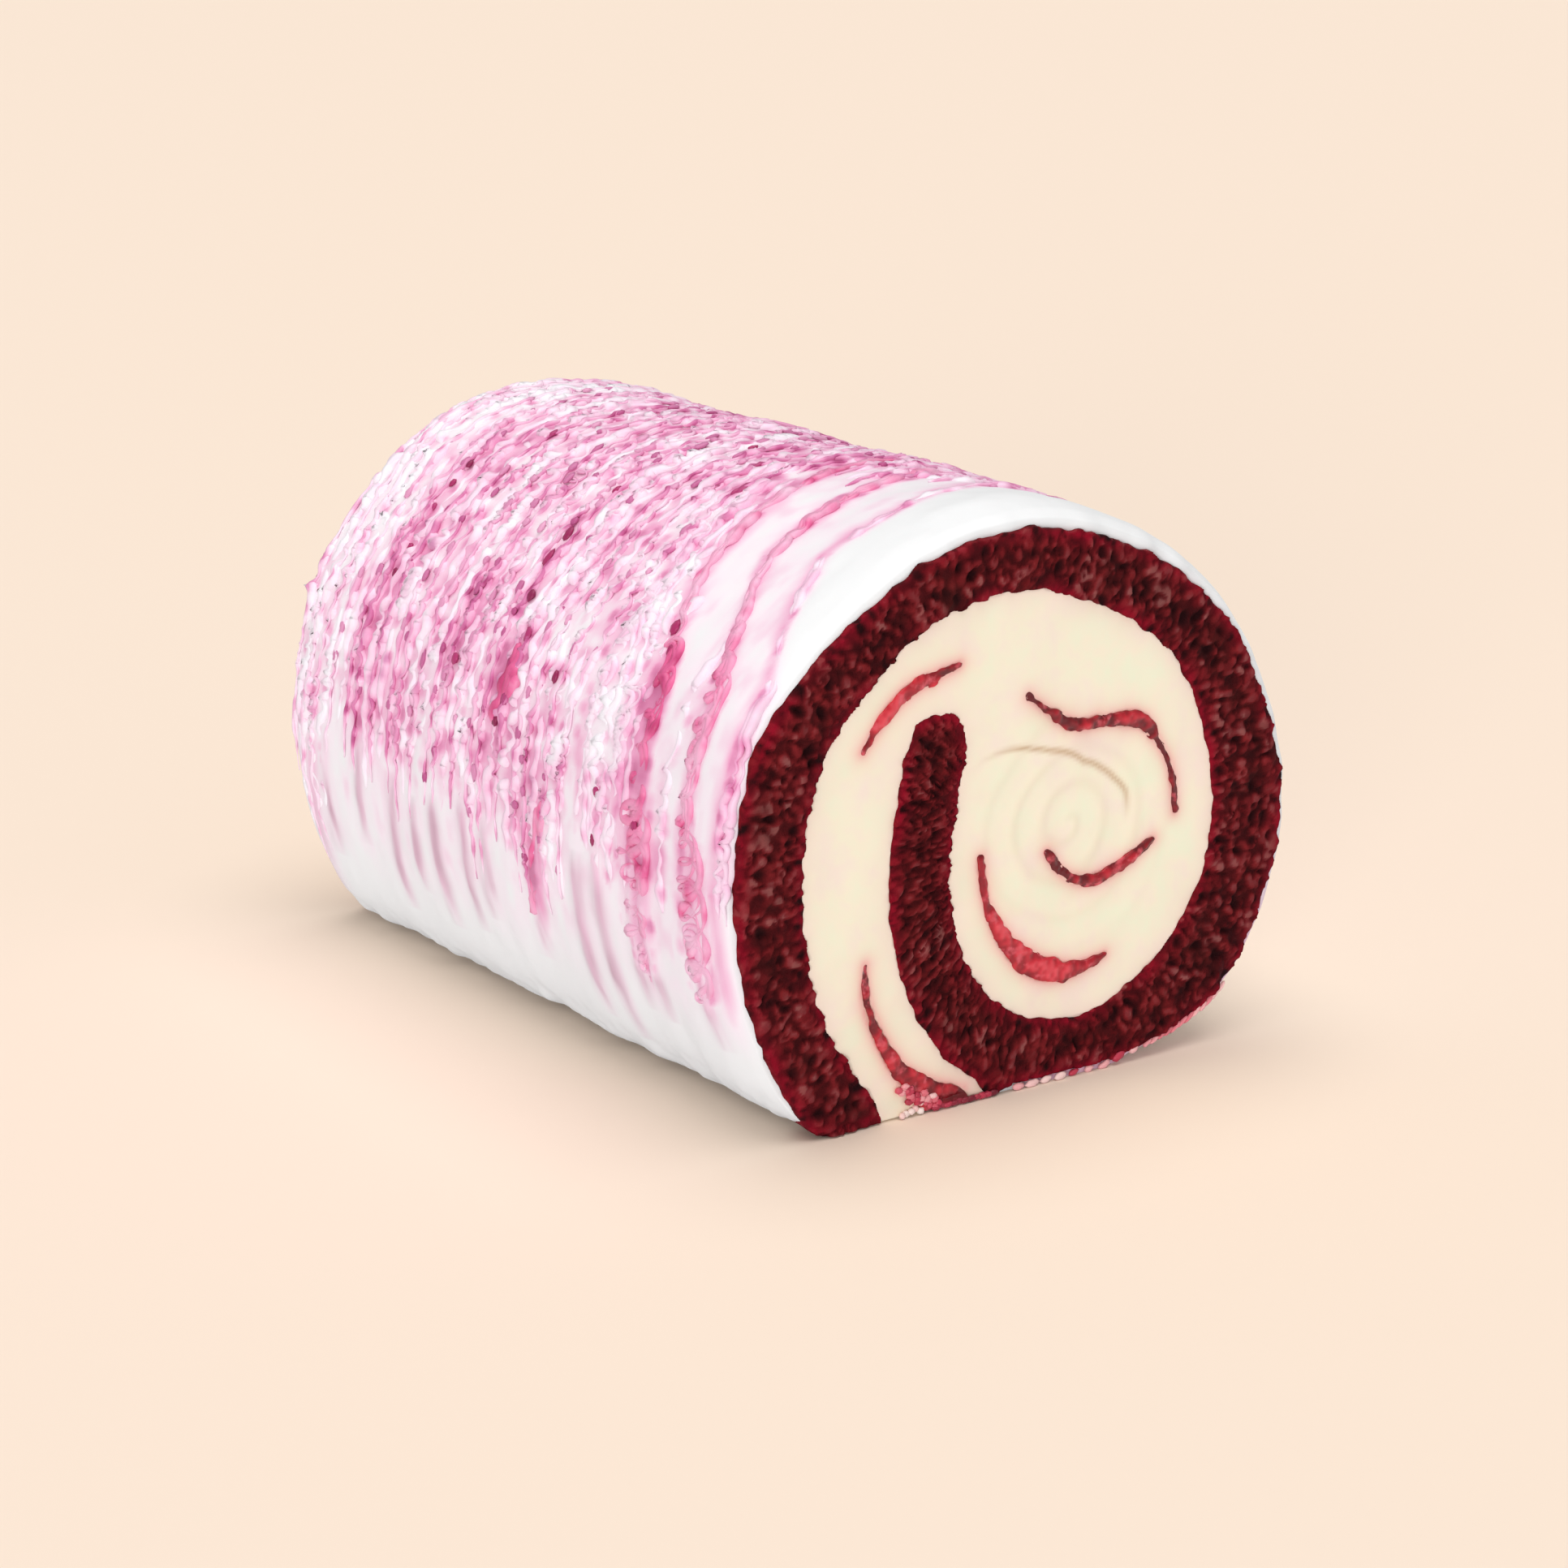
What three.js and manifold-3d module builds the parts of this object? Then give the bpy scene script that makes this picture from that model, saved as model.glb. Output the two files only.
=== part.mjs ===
// A short length of Swiss roll, cut square at both ends, in millimetres with +Z up.
//
// The roll lies on its side along Y, with the end that shows its spiral best towards -Y. One thick
// sheet of dark sponge starts with a rounded lip near the middle of the roll, runs down, under, up
// the right side, over the top and down the left side, and ends tucked against the table. Cream
// fills the space between the turns, red jam runs through the cream in thin ribbons, and a coat of
// white icing covers the outside. Every piece runs through the whole length of the roll.
//
// Outlines are drawn in the plane of the cut face, as (x, height), and extruded along the roll.
// The origin is under the middle of the roll, on the surface that it rests on.

import * as THREE from "three";
import { mergeVertices } from "three/addons/utils/BufferGeometryUtils.js";
import Module from "manifold-3d";

// Driving dimensions
const ROLL_LENGTH = 126; // from one cut face to the other
const ICING_SIDE = 2.2; // thickness of the icing on the two sides
const ICING_UNDER = 0.9; // and squeezed flat under the roll
const GAP = 0.3; // between one piece and the next
const FLOOR = ICING_UNDER + GAP; // height of the flat underside of sponge and cream

// The sponge sheet's middle line from its inner lip to its outer end, as [x, height, thickness].
const SHEET = [
  [-15, 52.5, 9.5],
  [-17.5, 38.5, 9.5],
  [-17, 26.5, 10],
  [-11.5, 14, 10],
  [-3, 6.5, 10.5],
  [9, 4.5, 8.5],
  [20, 6.5, 9.5],
  [31, 12, 13],
  [38.5, 22, 12.5],
  [41, 36, 12.5],
  [38, 50, 11],
  [30.5, 62.5, 9.5],
  [18, 71.5, 8.5],
  [2, 76.5, 8],
  [-14, 75, 7.5],
  [-28, 67, 8],
  [-39, 55, 10],
  [-42.5, 38, 10],
  [-41, 23.5, 9.5],
  [-35, 9, 9],
  [-26.5, -2.5, 8.5],
];

// The middle lines of the jam's ribbons, written in the same way.
const JAM = {
  jam_over_lip: [
    [-27.4, 54.0, 0.9],
    [-24.0, 58.2, 1.6],
    [-19.6, 61.4, 2.0],
    [-15.2, 62.8, 1.6],
    [-11.2, 63.8, 0.9],
  ],
  jam_upper_wave: [
    [0.6, 57.5, 0.7],
    [4.6, 54.6, 1.0],
    [7.4, 52.9, 1.7],
    [10.4, 51.9, 1.4],
    [13.2, 52.1, 1.9],
    [15.2, 51.9, 1.4],
    [18.0, 51.7, 2.4],
    [21.0, 50.9, 2.3],
    [23.6, 48.0, 1.1],
    [26.4, 43.4, 1.0],
    [27.6, 36.6, 0.8],
  ],
  jam_middle: [
    [4.4, 34.4, 0.9],
    [7.4, 30.8, 1.2],
    [12.0, 28.9, 1.6],
    [18.0, 30.2, 1.5],
    [23.6, 33.0, 0.9],
  ],
  jam_crescent: [
    [-7.2, 35.6, 0.7],
    [-6.0, 28.4, 1.3],
    [-2.4, 22.2, 2.6],
    [2.4, 18.0, 3.6],
    [7.4, 16.2, 3.0],
    [11.4, 16.2, 1.8],
    [15.2, 17.2, 0.9],
  ],
  jam_by_seam: [
    [-26.8, 23.6, 0.8],
    [-26.6, 18.8, 1.5],
    [-24.0, 12.2, 2.0],
    [-20.2, 6.6, 2.6],
    [-15.6, 3.3, 3.2],
    [-9.6, 1.9, 0.9],
  ],
};

// Colour, roughness and metalness of each food.
const SPONGE_LOOK = { color: 0x4a1413, roughness: 0.95, metalness: 0 };
const CREAM_LOOK = { color: 0xf8ead0, roughness: 0.55, metalness: 0 };
const JAM_LOOK = { color: 0xc01f30, roughness: 0.25, metalness: 0 };
const ICING_LOOK = { color: 0xfbf6f6, roughness: 0.5, metalness: 0 };

// The icing isn't even. It swells or thins in some directions, given as [degrees round from the
// right, over the top; spread in degrees; millimetres at the near end; at the far end].
const ICING_SWELLS = [
  [62, 34, 1.5, 0.2],
  [124, 18, 0.2, 2.2],
  [160, 16, 0, -1.8],
  [222, 20, 0, 2.4],
];
const ICING_FOOT = 10; // height above the table over which the icing thins to its underside
const ICING_WAVE = 0.25; // height of the slow waves along the roll
const ICING_WAVE_LENGTH = 37; // from one wave to the next
const RIM_LENGTH = 8; // how far from a cut face the icing starts to round off
const RIM_SHARE = 0.45; // of its thickness that is left at the face itself

// How finely the curves are cut into straight edges
const SHEET_STEPS = 130; // from the sponge's lip to its outer end
const JAM_STEPS = 22; // along one ribbon of jam
const LIP_STEPS = 8; // round the end of a ribbon
const RIM_STEPS = 4; // from a cut face to where the icing is no longer rounded
const ICING_STEPS = 12; // along the roll, between the two rims
const ICING_POINTS = 96; // round the roll

const wasm = await Module();
wasm.setup();

// A three.js geometry as a manifold-3d solid, and back.
function solid(geometry) {
  const bare = geometry.clone();
  bare.deleteAttribute("normal");
  bare.deleteAttribute("uv");
  const merged = mergeVertices(bare);
  return new wasm.Manifold(
    new wasm.Mesh({
      numProp: 3,
      vertProperties: merged.attributes.position.array,
      triVerts: new Uint32Array(merged.index.array),
    }),
  );
}

function geometryOf(manifold) {
  const mesh = manifold.getMesh();
  return new THREE.BufferGeometry()
    .setAttribute("position", new THREE.BufferAttribute(mesh.vertProperties, 3))
    .setIndex(new THREE.BufferAttribute(mesh.triVerts, 1));
}

// A smooth ribbon through [x, height, thickness] points, as samples with a normal to its left.
function ribbon(points, steps) {
  const curve = new THREE.CatmullRomCurve3(
    points.map(([x, height, thickness]) => new THREE.Vector3(x, height, thickness)),
    false,
    "centripetal",
  );
  const samples = curve.getSpacedPoints(steps);
  return samples.map((sample, i) => {
    const before = samples[Math.max(i - 1, 0)];
    const after = samples[Math.min(i + 1, steps)];
    const along = new THREE.Vector2(after.x - before.x, after.y - before.y).normalize();
    return {
      middle: new THREE.Vector2(sample.x, sample.y),
      along,
      normal: new THREE.Vector2(-along.y, along.x),
      half: sample.z / 2,
    };
  });
}

// One side of a ribbon: side is 1 for its left and -1 for its right, and grow pushes it outwards.
function sideOf(samples, side, grow = 0) {
  return samples.map(({ middle, normal, half }) =>
    middle.clone().addScaledVector(normal, side * (half + grow)),
  );
}

// The half-round end of a ribbon, swept from its left side to its right, without the two sides.
function roundEnd({ middle, along, normal, half }, forward, grow) {
  const points = [];
  for (let i = 1; i < LIP_STEPS; i++) {
    const angle = (Math.PI * i) / LIP_STEPS;
    const reach = half + grow;
    points.push(
      middle
        .clone()
        .addScaledVector(normal, reach * Math.cos(angle))
        .addScaledVector(along, forward * reach * Math.sin(angle)),
    );
  }
  return points;
}

// A ribbon's closed outline, grown on every side.
function ribbonOutline(samples, grow = 0) {
  const left = sideOf(samples, 1, grow);
  const right = sideOf(samples, -1, grow);
  const start = roundEnd(samples[0], -1, grow);
  const end = roundEnd(samples[samples.length - 1], 1, grow);
  return [...left, ...end, ...right.reverse(), ...start.reverse()];
}

// An outline extruded through the roll, with some extra length where it cuts another piece.
function extrude(outline, extra = 0, steps = 1) {
  const geometry = new THREE.ExtrudeGeometry(new THREE.Shape(outline), {
    depth: ROLL_LENGTH + 2 * extra,
    bevelEnabled: false,
    steps,
  });
  return geometry.translate(0, 0, -extra);
}

// A block that holds everything above a height.
function above(height) {
  const size = 3 * ROLL_LENGTH;
  const block = new THREE.BoxGeometry(size, size, size);
  return solid(block.translate(0, height + size / 2, ROLL_LENGTH / 2));
}

// The stretch of a line round its highest point that lies above a height, with its two ends
// moved to the height itself.
function cutAtHeight(line, height) {
  const top = line.reduce((best, point, i) => (point.y > line[best].y ? i : best), 0);
  let first = top;
  let last = top;
  while (first > 0 && line[first - 1].y > height) first--;
  while (last < line.length - 1 && line[last + 1].y > height) last++;
  const foot = (inside, outside) => {
    const share = (inside.y - height) / (inside.y - outside.y);
    return new THREE.Vector2().lerpVectors(inside, outside, share);
  };
  return [
    foot(line[first], line[first - 1]),
    ...line.slice(first, last + 1),
    foot(line[last], line[last + 1]),
  ];
}

// The outer side of the sheet, grown outwards: up from the table at one side of the roll, over it
// and down to the table at the other side.
function outerLoop(sheet, grow, height) {
  return cutAtHeight(sideOf(sheet, -1, grow), height);
}

// The outer turn of the sheet's middle line, from where it lies lowest under the roll to its outer
// end. It is closed along the table and bounds the cream.
function middleLoop(sheet) {
  const middle = sheet.map((sample) => sample.middle);
  const half = Math.floor(sheet.length / 2);
  const lowest = middle.reduce(
    (best, point, i) => (i < half && point.y < middle[best].y ? i : best),
    0,
  );
  const turn = middle.slice(lowest).filter((point) => point.y > FLOOR);
  const first = turn[0];
  const last = turn[turn.length - 1];
  return [new THREE.Vector2(first.x, FLOOR), ...turn, new THREE.Vector2(last.x, FLOOR)];
}

function makeSponge(sheet) {
  return solid(extrude(ribbonOutline(sheet))).intersect(above(FLOOR));
}

function makeJam(samples) {
  return solid(extrude(ribbonOutline(samples))).intersect(above(FLOOR));
}

// Cream fills the outer turn, less the sheet and the jam and a gap round each.
function makeCream(sheet, ribbons) {
  let cream = solid(extrude(middleLoop(sheet)));
  cream = cream.subtract(solid(extrude(ribbonOutline(sheet, GAP), GAP)));
  for (const samples of ribbons)
    cream = cream.subtract(solid(extrude(ribbonOutline(samples, GAP), GAP)));
  return cream;
}

// How thick the icing is at a place on the roll, in a direction from the roll's middle and at a
// distance from the far end.
function icingThickness(place, direction, along) {
  const nearness = along / ROLL_LENGTH;
  const degrees = THREE.MathUtils.radToDeg(Math.atan2(direction.y, direction.x));
  const foot = THREE.MathUtils.smoothstep(place.y, 0, ICING_FOOT);
  let thickness = THREE.MathUtils.lerp(ICING_UNDER, ICING_SIDE, foot);
  thickness += ICING_WAVE * Math.sin((2 * Math.PI * along) / ICING_WAVE_LENGTH);
  for (const [towards, spread, near, far] of ICING_SWELLS) {
    const apart = THREE.MathUtils.euclideanModulo(degrees - towards + 180, 360) - 180;
    const height = THREE.MathUtils.lerp(far, near, nearness);
    thickness += height * Math.exp(-0.5 * (apart / spread) ** 2);
  }
  const fromFace = Math.min(along, ROLL_LENGTH - along, RIM_LENGTH) / RIM_LENGTH;
  const roundness = Math.sqrt(1 - (1 - fromFace) ** 2);
  return thickness * THREE.MathUtils.lerp(RIM_SHARE, 1, roundness);
}

// Distances from the far end at which the icing is shaped: close together at its round rims.
function icingStations() {
  const rim = [];
  for (let i = 0; i < RIM_STEPS; i++) {
    const angle = (Math.PI / 2) * (i / RIM_STEPS);
    rim.push(RIM_LENGTH * (1 - Math.cos(angle)));
  }
  const open = ROLL_LENGTH - 2 * RIM_LENGTH;
  const middle = [];
  for (let i = 0; i <= ICING_STEPS; i++) middle.push(RIM_LENGTH + (open * i) / ICING_STEPS);
  return [...rim, ...middle, ...rim.map((place) => ROLL_LENGTH - place).reverse()];
}

// The icing: the roll's outside, run down below the table and cut off there, pushed outwards by
// the icing's thickness, less a core that leaves room for everything inside.
function makeIcing(sheet) {
  const loop = new THREE.SplineCurve(outerLoop(sheet, 0, FLOOR)).getSpacedPoints(ICING_POINTS);
  const foot = [loop[0], loop[loop.length - 1]].map(({ x }) => new THREE.Vector2(x, -FLOOR));
  const outline = [foot[0], ...loop, foot[1]];
  const centre = new THREE.Box2().setFromPoints(loop).getCenter(new THREE.Vector2());
  const stations = icingStations();
  const geometry = extrude(outline, 0, stations.length - 1);
  const places = geometry.attributes.position;
  for (let i = 0; i < places.count; i++) {
    const station = Math.round((places.getZ(i) / ROLL_LENGTH) * (stations.length - 1));
    const along = stations[station];
    const place = new THREE.Vector2(places.getX(i), places.getY(i));
    const outwards = place.clone().sub(centre).normalize();
    place.addScaledVector(outwards, icingThickness(place, outwards, along));
    places.setXYZ(i, place.x, place.y, along);
  }
  const core = extrude(outerLoop(sheet, GAP, ICING_UNDER), RIM_LENGTH);
  return solid(geometry).intersect(above(0)).subtract(solid(core));
}

function piece(name, manifold, look) {
  const mesh = new THREE.Mesh(geometryOf(manifold), new THREE.MeshStandardMaterial(look));
  mesh.name = name;
  return mesh;
}

const sheet = ribbon(SHEET, SHEET_STEPS);
const ribbons = Object.values(JAM).map((points) => ribbon(points, JAM_STEPS));

// The pieces are drawn lying in the XY plane, and the group stands them up along Y.
const roll = new THREE.Group();
roll.rotation.x = Math.PI / 2;
roll.position.y = ROLL_LENGTH / 2;
roll.add(piece("sponge", makeSponge(sheet), SPONGE_LOOK));
roll.add(piece("cream", makeCream(sheet, ribbons), CREAM_LOOK));
Object.keys(JAM).forEach((name, i) => roll.add(piece(name, makeJam(ribbons[i]), JAM_LOOK)));
roll.add(piece("icing", makeIcing(sheet), ICING_LOOK));
roll.position.x = -new THREE.Box3().setFromObject(roll).getCenter(new THREE.Vector3()).x;

const part = new THREE.Group();
part.add(roll);

export default part;
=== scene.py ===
# %% [markdown]
# # A short Swiss roll in white icing
#
# A sheet of dark red sponge is spread with cream and streaked with jam, rolled up, and covered
# with white icing. Pink icing is then trailed round it in fine threads, and both ends are cut
# square. The pieces below are made in the order in which a baker would meet them: sponge, cream,
# jam, icing, and last the threads on top.
#
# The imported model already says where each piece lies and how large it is. Each new piece starts
# from that, so that nothing has to be fitted afterwards.

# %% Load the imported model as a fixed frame
import itertools
import math

import bpy
import numpy as np
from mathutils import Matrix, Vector
from mathutils.bvhtree import BVHTree


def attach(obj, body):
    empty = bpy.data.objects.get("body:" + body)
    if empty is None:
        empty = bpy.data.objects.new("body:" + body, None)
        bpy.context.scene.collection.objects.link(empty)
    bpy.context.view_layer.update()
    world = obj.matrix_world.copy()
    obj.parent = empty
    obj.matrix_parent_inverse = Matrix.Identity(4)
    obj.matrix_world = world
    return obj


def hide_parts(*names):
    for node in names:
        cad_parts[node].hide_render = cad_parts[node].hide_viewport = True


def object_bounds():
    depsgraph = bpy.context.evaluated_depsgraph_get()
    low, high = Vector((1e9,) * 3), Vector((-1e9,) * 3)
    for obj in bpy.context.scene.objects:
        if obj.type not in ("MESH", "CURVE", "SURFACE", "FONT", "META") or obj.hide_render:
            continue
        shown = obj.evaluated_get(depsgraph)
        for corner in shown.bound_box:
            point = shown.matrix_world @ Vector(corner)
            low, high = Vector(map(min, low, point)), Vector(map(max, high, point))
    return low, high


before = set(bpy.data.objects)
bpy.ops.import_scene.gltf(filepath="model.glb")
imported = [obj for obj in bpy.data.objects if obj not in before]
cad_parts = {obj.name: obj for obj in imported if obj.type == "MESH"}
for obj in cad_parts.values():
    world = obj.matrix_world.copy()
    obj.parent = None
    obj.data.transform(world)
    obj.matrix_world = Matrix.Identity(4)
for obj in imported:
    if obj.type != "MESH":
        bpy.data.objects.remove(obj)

CAD_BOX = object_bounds()
MM = 0.001
HALF_LENGTH = CAD_BOX[1].y / MM  # from the middle of the roll to a cut face
print("box of the packed model, mm:", [[round(c / MM, 2) for c in corner] for corner in CAD_BOX])

# %% [markdown]
# ## The camera
#
# Food is mostly looked at from across a table: from the front left here, looking down at about 16
# degrees. A long lens keeps the far end of the roll from shrinking. The camera only needs a place
# and a direction, so it is made in code rather than by dragging it about.

# %% Make the camera
CAMERA_PLACE = Vector((-307.1, -453.8, 190.0)) * MM
CAMERA_YAW = math.radians(34.33)  # turned from +Y towards +X
CAMERA_PITCH = math.radians(16.28)  # tipped down from level
LENS = 85.7  # on a sensor 36 mm wide

bpy.ops.object.camera_add(location=CAMERA_PLACE)
camera = bpy.context.object
camera.name = "camera"
camera.data.lens = LENS
camera.data.sensor_width = 36
camera.rotation_euler = (math.pi / 2 - CAMERA_PITCH, 0, -CAMERA_YAW)
bpy.context.scene.camera = camera
print("camera at", [round(c / MM) for c in CAMERA_PLACE], "mm")

# %% [markdown]
# ## Colours and nodes
#
# Colours are written as sRGB hex values, as a painter's swatch gives them, and turned to linear
# light by one function. A second small function adds a shader node with its settings and links.


# %% Turn a swatch to linear light, and fill a colour ramp with swatches
def linear(swatch):
    """The linear colour, with an alpha of 1, of an sRGB hex value such as "f8ead2"."""
    channels = [int(swatch[i : i + 2], 16) / 255 for i in (0, 2, 4)]
    return [c / 12.92 if c <= 0.04045 else ((c + 0.055) / 1.055) ** 2.4 for c in channels] + [1]


def fill_ramp(ramp, stops):
    """Give a colour ramp these stops, as (place, swatch)."""
    while len(ramp.elements) < len(stops):
        ramp.elements.new(0.5)
    for element, (place, swatch) in zip(ramp.elements, stops):
        element.position = place
        element.color = linear(swatch)


# %% Add a node
# A Mix node's sockets for colours are known by number: how much, the two colours, and the result.
AMOUNT, FIRST, SECOND, MIXED = 0, 6, 7, 2


def add(tree, kind, settings=None, links=None):
    """Add one node. Settings name its properties, the sockets that hold a value, or the stops of
    its colour ramp. Links name the sockets that another node's socket feeds."""
    node = tree.nodes.new(kind)
    for name, value in (settings or {}).items():
        if name == "stops":
            fill_ramp(node.color_ramp, value)
        elif isinstance(name, str) and hasattr(node, name):
            setattr(node, name, value)
        else:
            node.inputs[name].default_value = value
    for name, source in (links or {}).items():
        tree.links.new(source, node.inputs[name])
    return node


# %% Start a material
def new_material(name):
    """An empty material, and its node tree."""
    material = bpy.data.materials.new(name)
    material.use_nodes = True
    material.node_tree.nodes.clear()
    return material, material.node_tree


# %% [markdown]
# ## The floor and the light
#
# The roll stands on a plain pale table in soft studio light. A broad lamp overhead makes the soft
# shadow round its foot. A low one in front brings up the cut face and the side, and hardly touches
# the table. An even pale surround fills the rest. The table is big enough to be all that the
# camera sees behind the roll.

# %% Make the floor
FLOOR_SIZE = 12.0  # metres
BOARD = "fbe7d4"
WHITE_CARD = "f0edeb"

bpy.ops.object.select_all(action="DESELECT")
bpy.ops.mesh.primitive_plane_add(size=FLOOR_SIZE)
floor = bpy.context.object
floor.name = "floor"
# Painted board is matt, so it shows its colour and no shine. In a studio, white card would keep
# that colour off the food. A paler shader does so here: it is what the light meets, and the
# coloured one is what the camera sees.
material, tree = new_material("matt_painted_board")
card, board = (
    add(
        tree,
        "ShaderNodeBsdfPrincipled",
        {"Base Color": linear(swatch), "Roughness": 0.9, "Specular IOR Level": 0.1},
    ).outputs["BSDF"]
    for swatch in (WHITE_CARD, BOARD)
)
seen = add(tree, "ShaderNodeLightPath").outputs["Is Camera Ray"]
shader = add(tree, "ShaderNodeMixShader", links={0: seen, 1: card, 2: board})
add(tree, "ShaderNodeOutputMaterial", links={"Surface": shader.outputs["Shader"]})
floor.data.materials.append(material)
print("floor:", FLOOR_SIZE, "m across")

# %% Light it
# Each lamp as (the way from the roll to it, strength, how wide it looks in degrees).
LAMPS = {
    "overhead_lamp": ((0.06, -0.02, 1.0), 1.7, 56),
    "front_lamp": ((-0.72, -0.68, 0.12), 1.36, 20),
}
SURROUND = 0.42  # strength of the even light from all sides

for name, (way_to_it, energy, wide) in LAMPS.items():
    bpy.ops.object.light_add(type="SUN")
    lamp = bpy.context.object
    lamp.name = name
    lamp.rotation_euler = Vector(way_to_it).to_track_quat("Z", "Y").to_euler()
    lamp.data.energy = energy
    lamp.data.angle = math.radians(wide)

world = bpy.data.worlds.new("studio")
bpy.context.scene.world = world
world.use_nodes = True
background = world.node_tree.nodes["Background"]
background.inputs["Color"].default_value = (1.0, 1.0, 1.0, 1)
background.inputs["Strength"].default_value = SURROUND
bpy.context.scene.view_settings.view_transform = "Standard"
print("lit by", *LAMPS, "and the surround")

# %% [markdown]
# ## Working on a mesh
#
# Food is lumpy in ways that no modifier knows about, so much of the shaping below is done by
# moving vertices, as a sculptor would. These helpers read a piece's vertices in millimetres and
# write them back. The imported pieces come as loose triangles, so a copy is joined up first.


# %% Select, read and write
def only(piece):
    """Select this piece alone, and make it the active one."""
    bpy.ops.object.select_all(action="DESELECT")
    piece.select_set(True)
    bpy.context.view_layer.objects.active = piece


def rows_of(items, field):
    """Three numbers for each item in one of a mesh's lists, one row each."""
    flat = np.empty(len(items) * 3, np.float32)
    items.foreach_get(field, flat)
    return flat.reshape(-1, 3).astype(float)


def places_of(piece):
    """The piece's vertices in mm."""
    return rows_of(piece.data.vertices, "co") / MM


def normals_of(piece):
    """The outward direction at each vertex."""
    return rows_of(piece.data.vertex_normals, "vector")


def move_to(piece, places):
    """Put the piece's vertices at these places in mm."""
    piece.data.vertices.foreach_set("co", (places * MM).astype(np.float32).ravel())
    piece.data.update()


def note(piece, name, values):
    """Keep one number for each vertex, for a material to read."""
    attribute = piece.data.attributes.new(name, "FLOAT", "POINT")
    attribute.data.foreach_set("value", np.asarray(values, np.float32))


# %% Join up a mesh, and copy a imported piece
def join_up(piece, turn_outwards=True):
    """Join the vertices that share a place, and turn the faces outwards."""
    only(piece)
    bpy.ops.object.mode_set(mode="EDIT")
    bpy.ops.mesh.select_all(action="SELECT")
    bpy.ops.mesh.remove_doubles(threshold=0.001 * MM)
    if turn_outwards:
        bpy.ops.mesh.normals_make_consistent(inside=False)
    bpy.ops.object.mode_set(mode="OBJECT")


def merged_copy(name, node):
    """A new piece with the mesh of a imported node, whose faces look outwards already."""
    piece = bpy.data.objects.new(name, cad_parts[node].data.copy())
    bpy.context.scene.collection.objects.link(piece)
    piece.data.materials.clear()
    join_up(piece, turn_outwards=False)
    return piece


# %% Give it an even mesh
def remesh(piece, cell):
    """Build the piece's surface again from even cells, this many mm wide."""
    only(piece)
    modifier = piece.modifiers.new("even_cells", "REMESH")
    modifier.mode = "VOXEL"
    modifier.voxel_size = cell * MM
    bpy.ops.object.modifier_apply(modifier=modifier.name)


# %% [markdown]
# ## Unevenness
#
# Two patterns make all the unevenness. `lumps` is smooth noise, for swelling and drift.
# `grains` scatters points through space and measures to the nearest one, for crumbs and air
# holes. Both work out a place's number from the place alone, so they come out the same each time.
# Each has a seed, so that no two uses of it look alike. Three curves shape what they give.


# %% A random number for each cell of space
def draw(cells, seed):
    """A number from 0 to 1 for each whole-numbered cell."""
    mixed = np.full(cells.shape[:-1], (seed * 0x9E3779B1) & 0xFFFFFFFF, np.uint32)
    for axis, factor in enumerate((0x85EBCA6B, 0xC2B2AE35, 0x27D4EB2F)):
        mixed ^= cells[..., axis].astype(np.int64).astype(np.uint32) * np.uint32(factor)
        mixed *= np.uint32(0x9E3779B1)
        mixed ^= mixed >> np.uint32(15)
    return (mixed & 0xFFFFFF) / 0xFFFFFF


# %% Lumps and grains
def lumps(places, size, seed, octaves=1):
    """Smooth noise from about -1 to 1, with its lumps about this far apart along each axis."""
    total = np.zeros(places.shape[:-1])
    for octave in range(octaves):
        at = places / (np.asarray(size, float) / 2**octave)
        corner = np.floor(at).astype(np.int64)
        share = at - corner
        share = share**3 * (share * (share * 6 - 15) + 10)
        value = np.zeros(total.shape)
        for side in itertools.product((0, 1), repeat=3):
            weight = np.prod(np.where(side, share, 1 - share), axis=-1)
            value += weight * draw(corner + side, seed + octave)
        total += (2 * value - 1) / 2**octave
    return total


def grains(places, size, seed, strays=(1, 1, 1)):
    """How far each place is from the nearest of many points, in units of the space between them,
    and a random number that belongs to that point. strays says how far from the middle of its
    cell a point may lie, along each axis: 1 is anywhere in it, and 0 is in line."""
    at = places / np.asarray(size, float)
    corner = np.floor(at).astype(np.int64)
    nearest = np.full(at.shape[:-1], 9.0)
    own = np.zeros(at.shape[:-1])
    for side in itertools.product(*((-1, 0, 1) if stray else (0,) for stray in strays)):
        cell = corner + side
        apart = np.stack([draw(cell, seed + k) for k in range(3)], -1) - 0.5
        middle = cell + 0.5 + apart * np.asarray(strays, float)
        distance = np.linalg.norm(at - middle, axis=-1)
        closer = distance < nearest
        nearest[closer] = distance[closer]
        own[closer] = draw(cell, seed + 3)[closer]
    return nearest, own


# %% Curves
def smooth_step(value, low, high):
    """0 below low, 1 above high, and a soft rise between."""
    share = np.clip((value - low) / (high - low), 0, 1)
    return share * share * (3 - 2 * share)


def bell(value, middle, spread):
    """1 in the middle, and dying away to both sides over about this spread."""
    return np.exp(-0.5 * ((value - middle) / spread) ** 2)


def follow(points, at):
    """A line through points given as (where, value), read off at these places."""
    return np.interp(at, *np.array(points, float).T)


# %% [markdown]
# ## The roll's outside
#
# Icing and threads both lie on the outside of the roll, so both are laid out on it as on an
# unrolled sheet: an angle round the roll, from straight down, up the right side and over the
# top, and a distance along it. The outside is measured once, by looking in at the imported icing
# from all round, and its foot is rounded off where soft icing curls under. The sponge needs it
# too, because its lumps have to stay under the icing.

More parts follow.
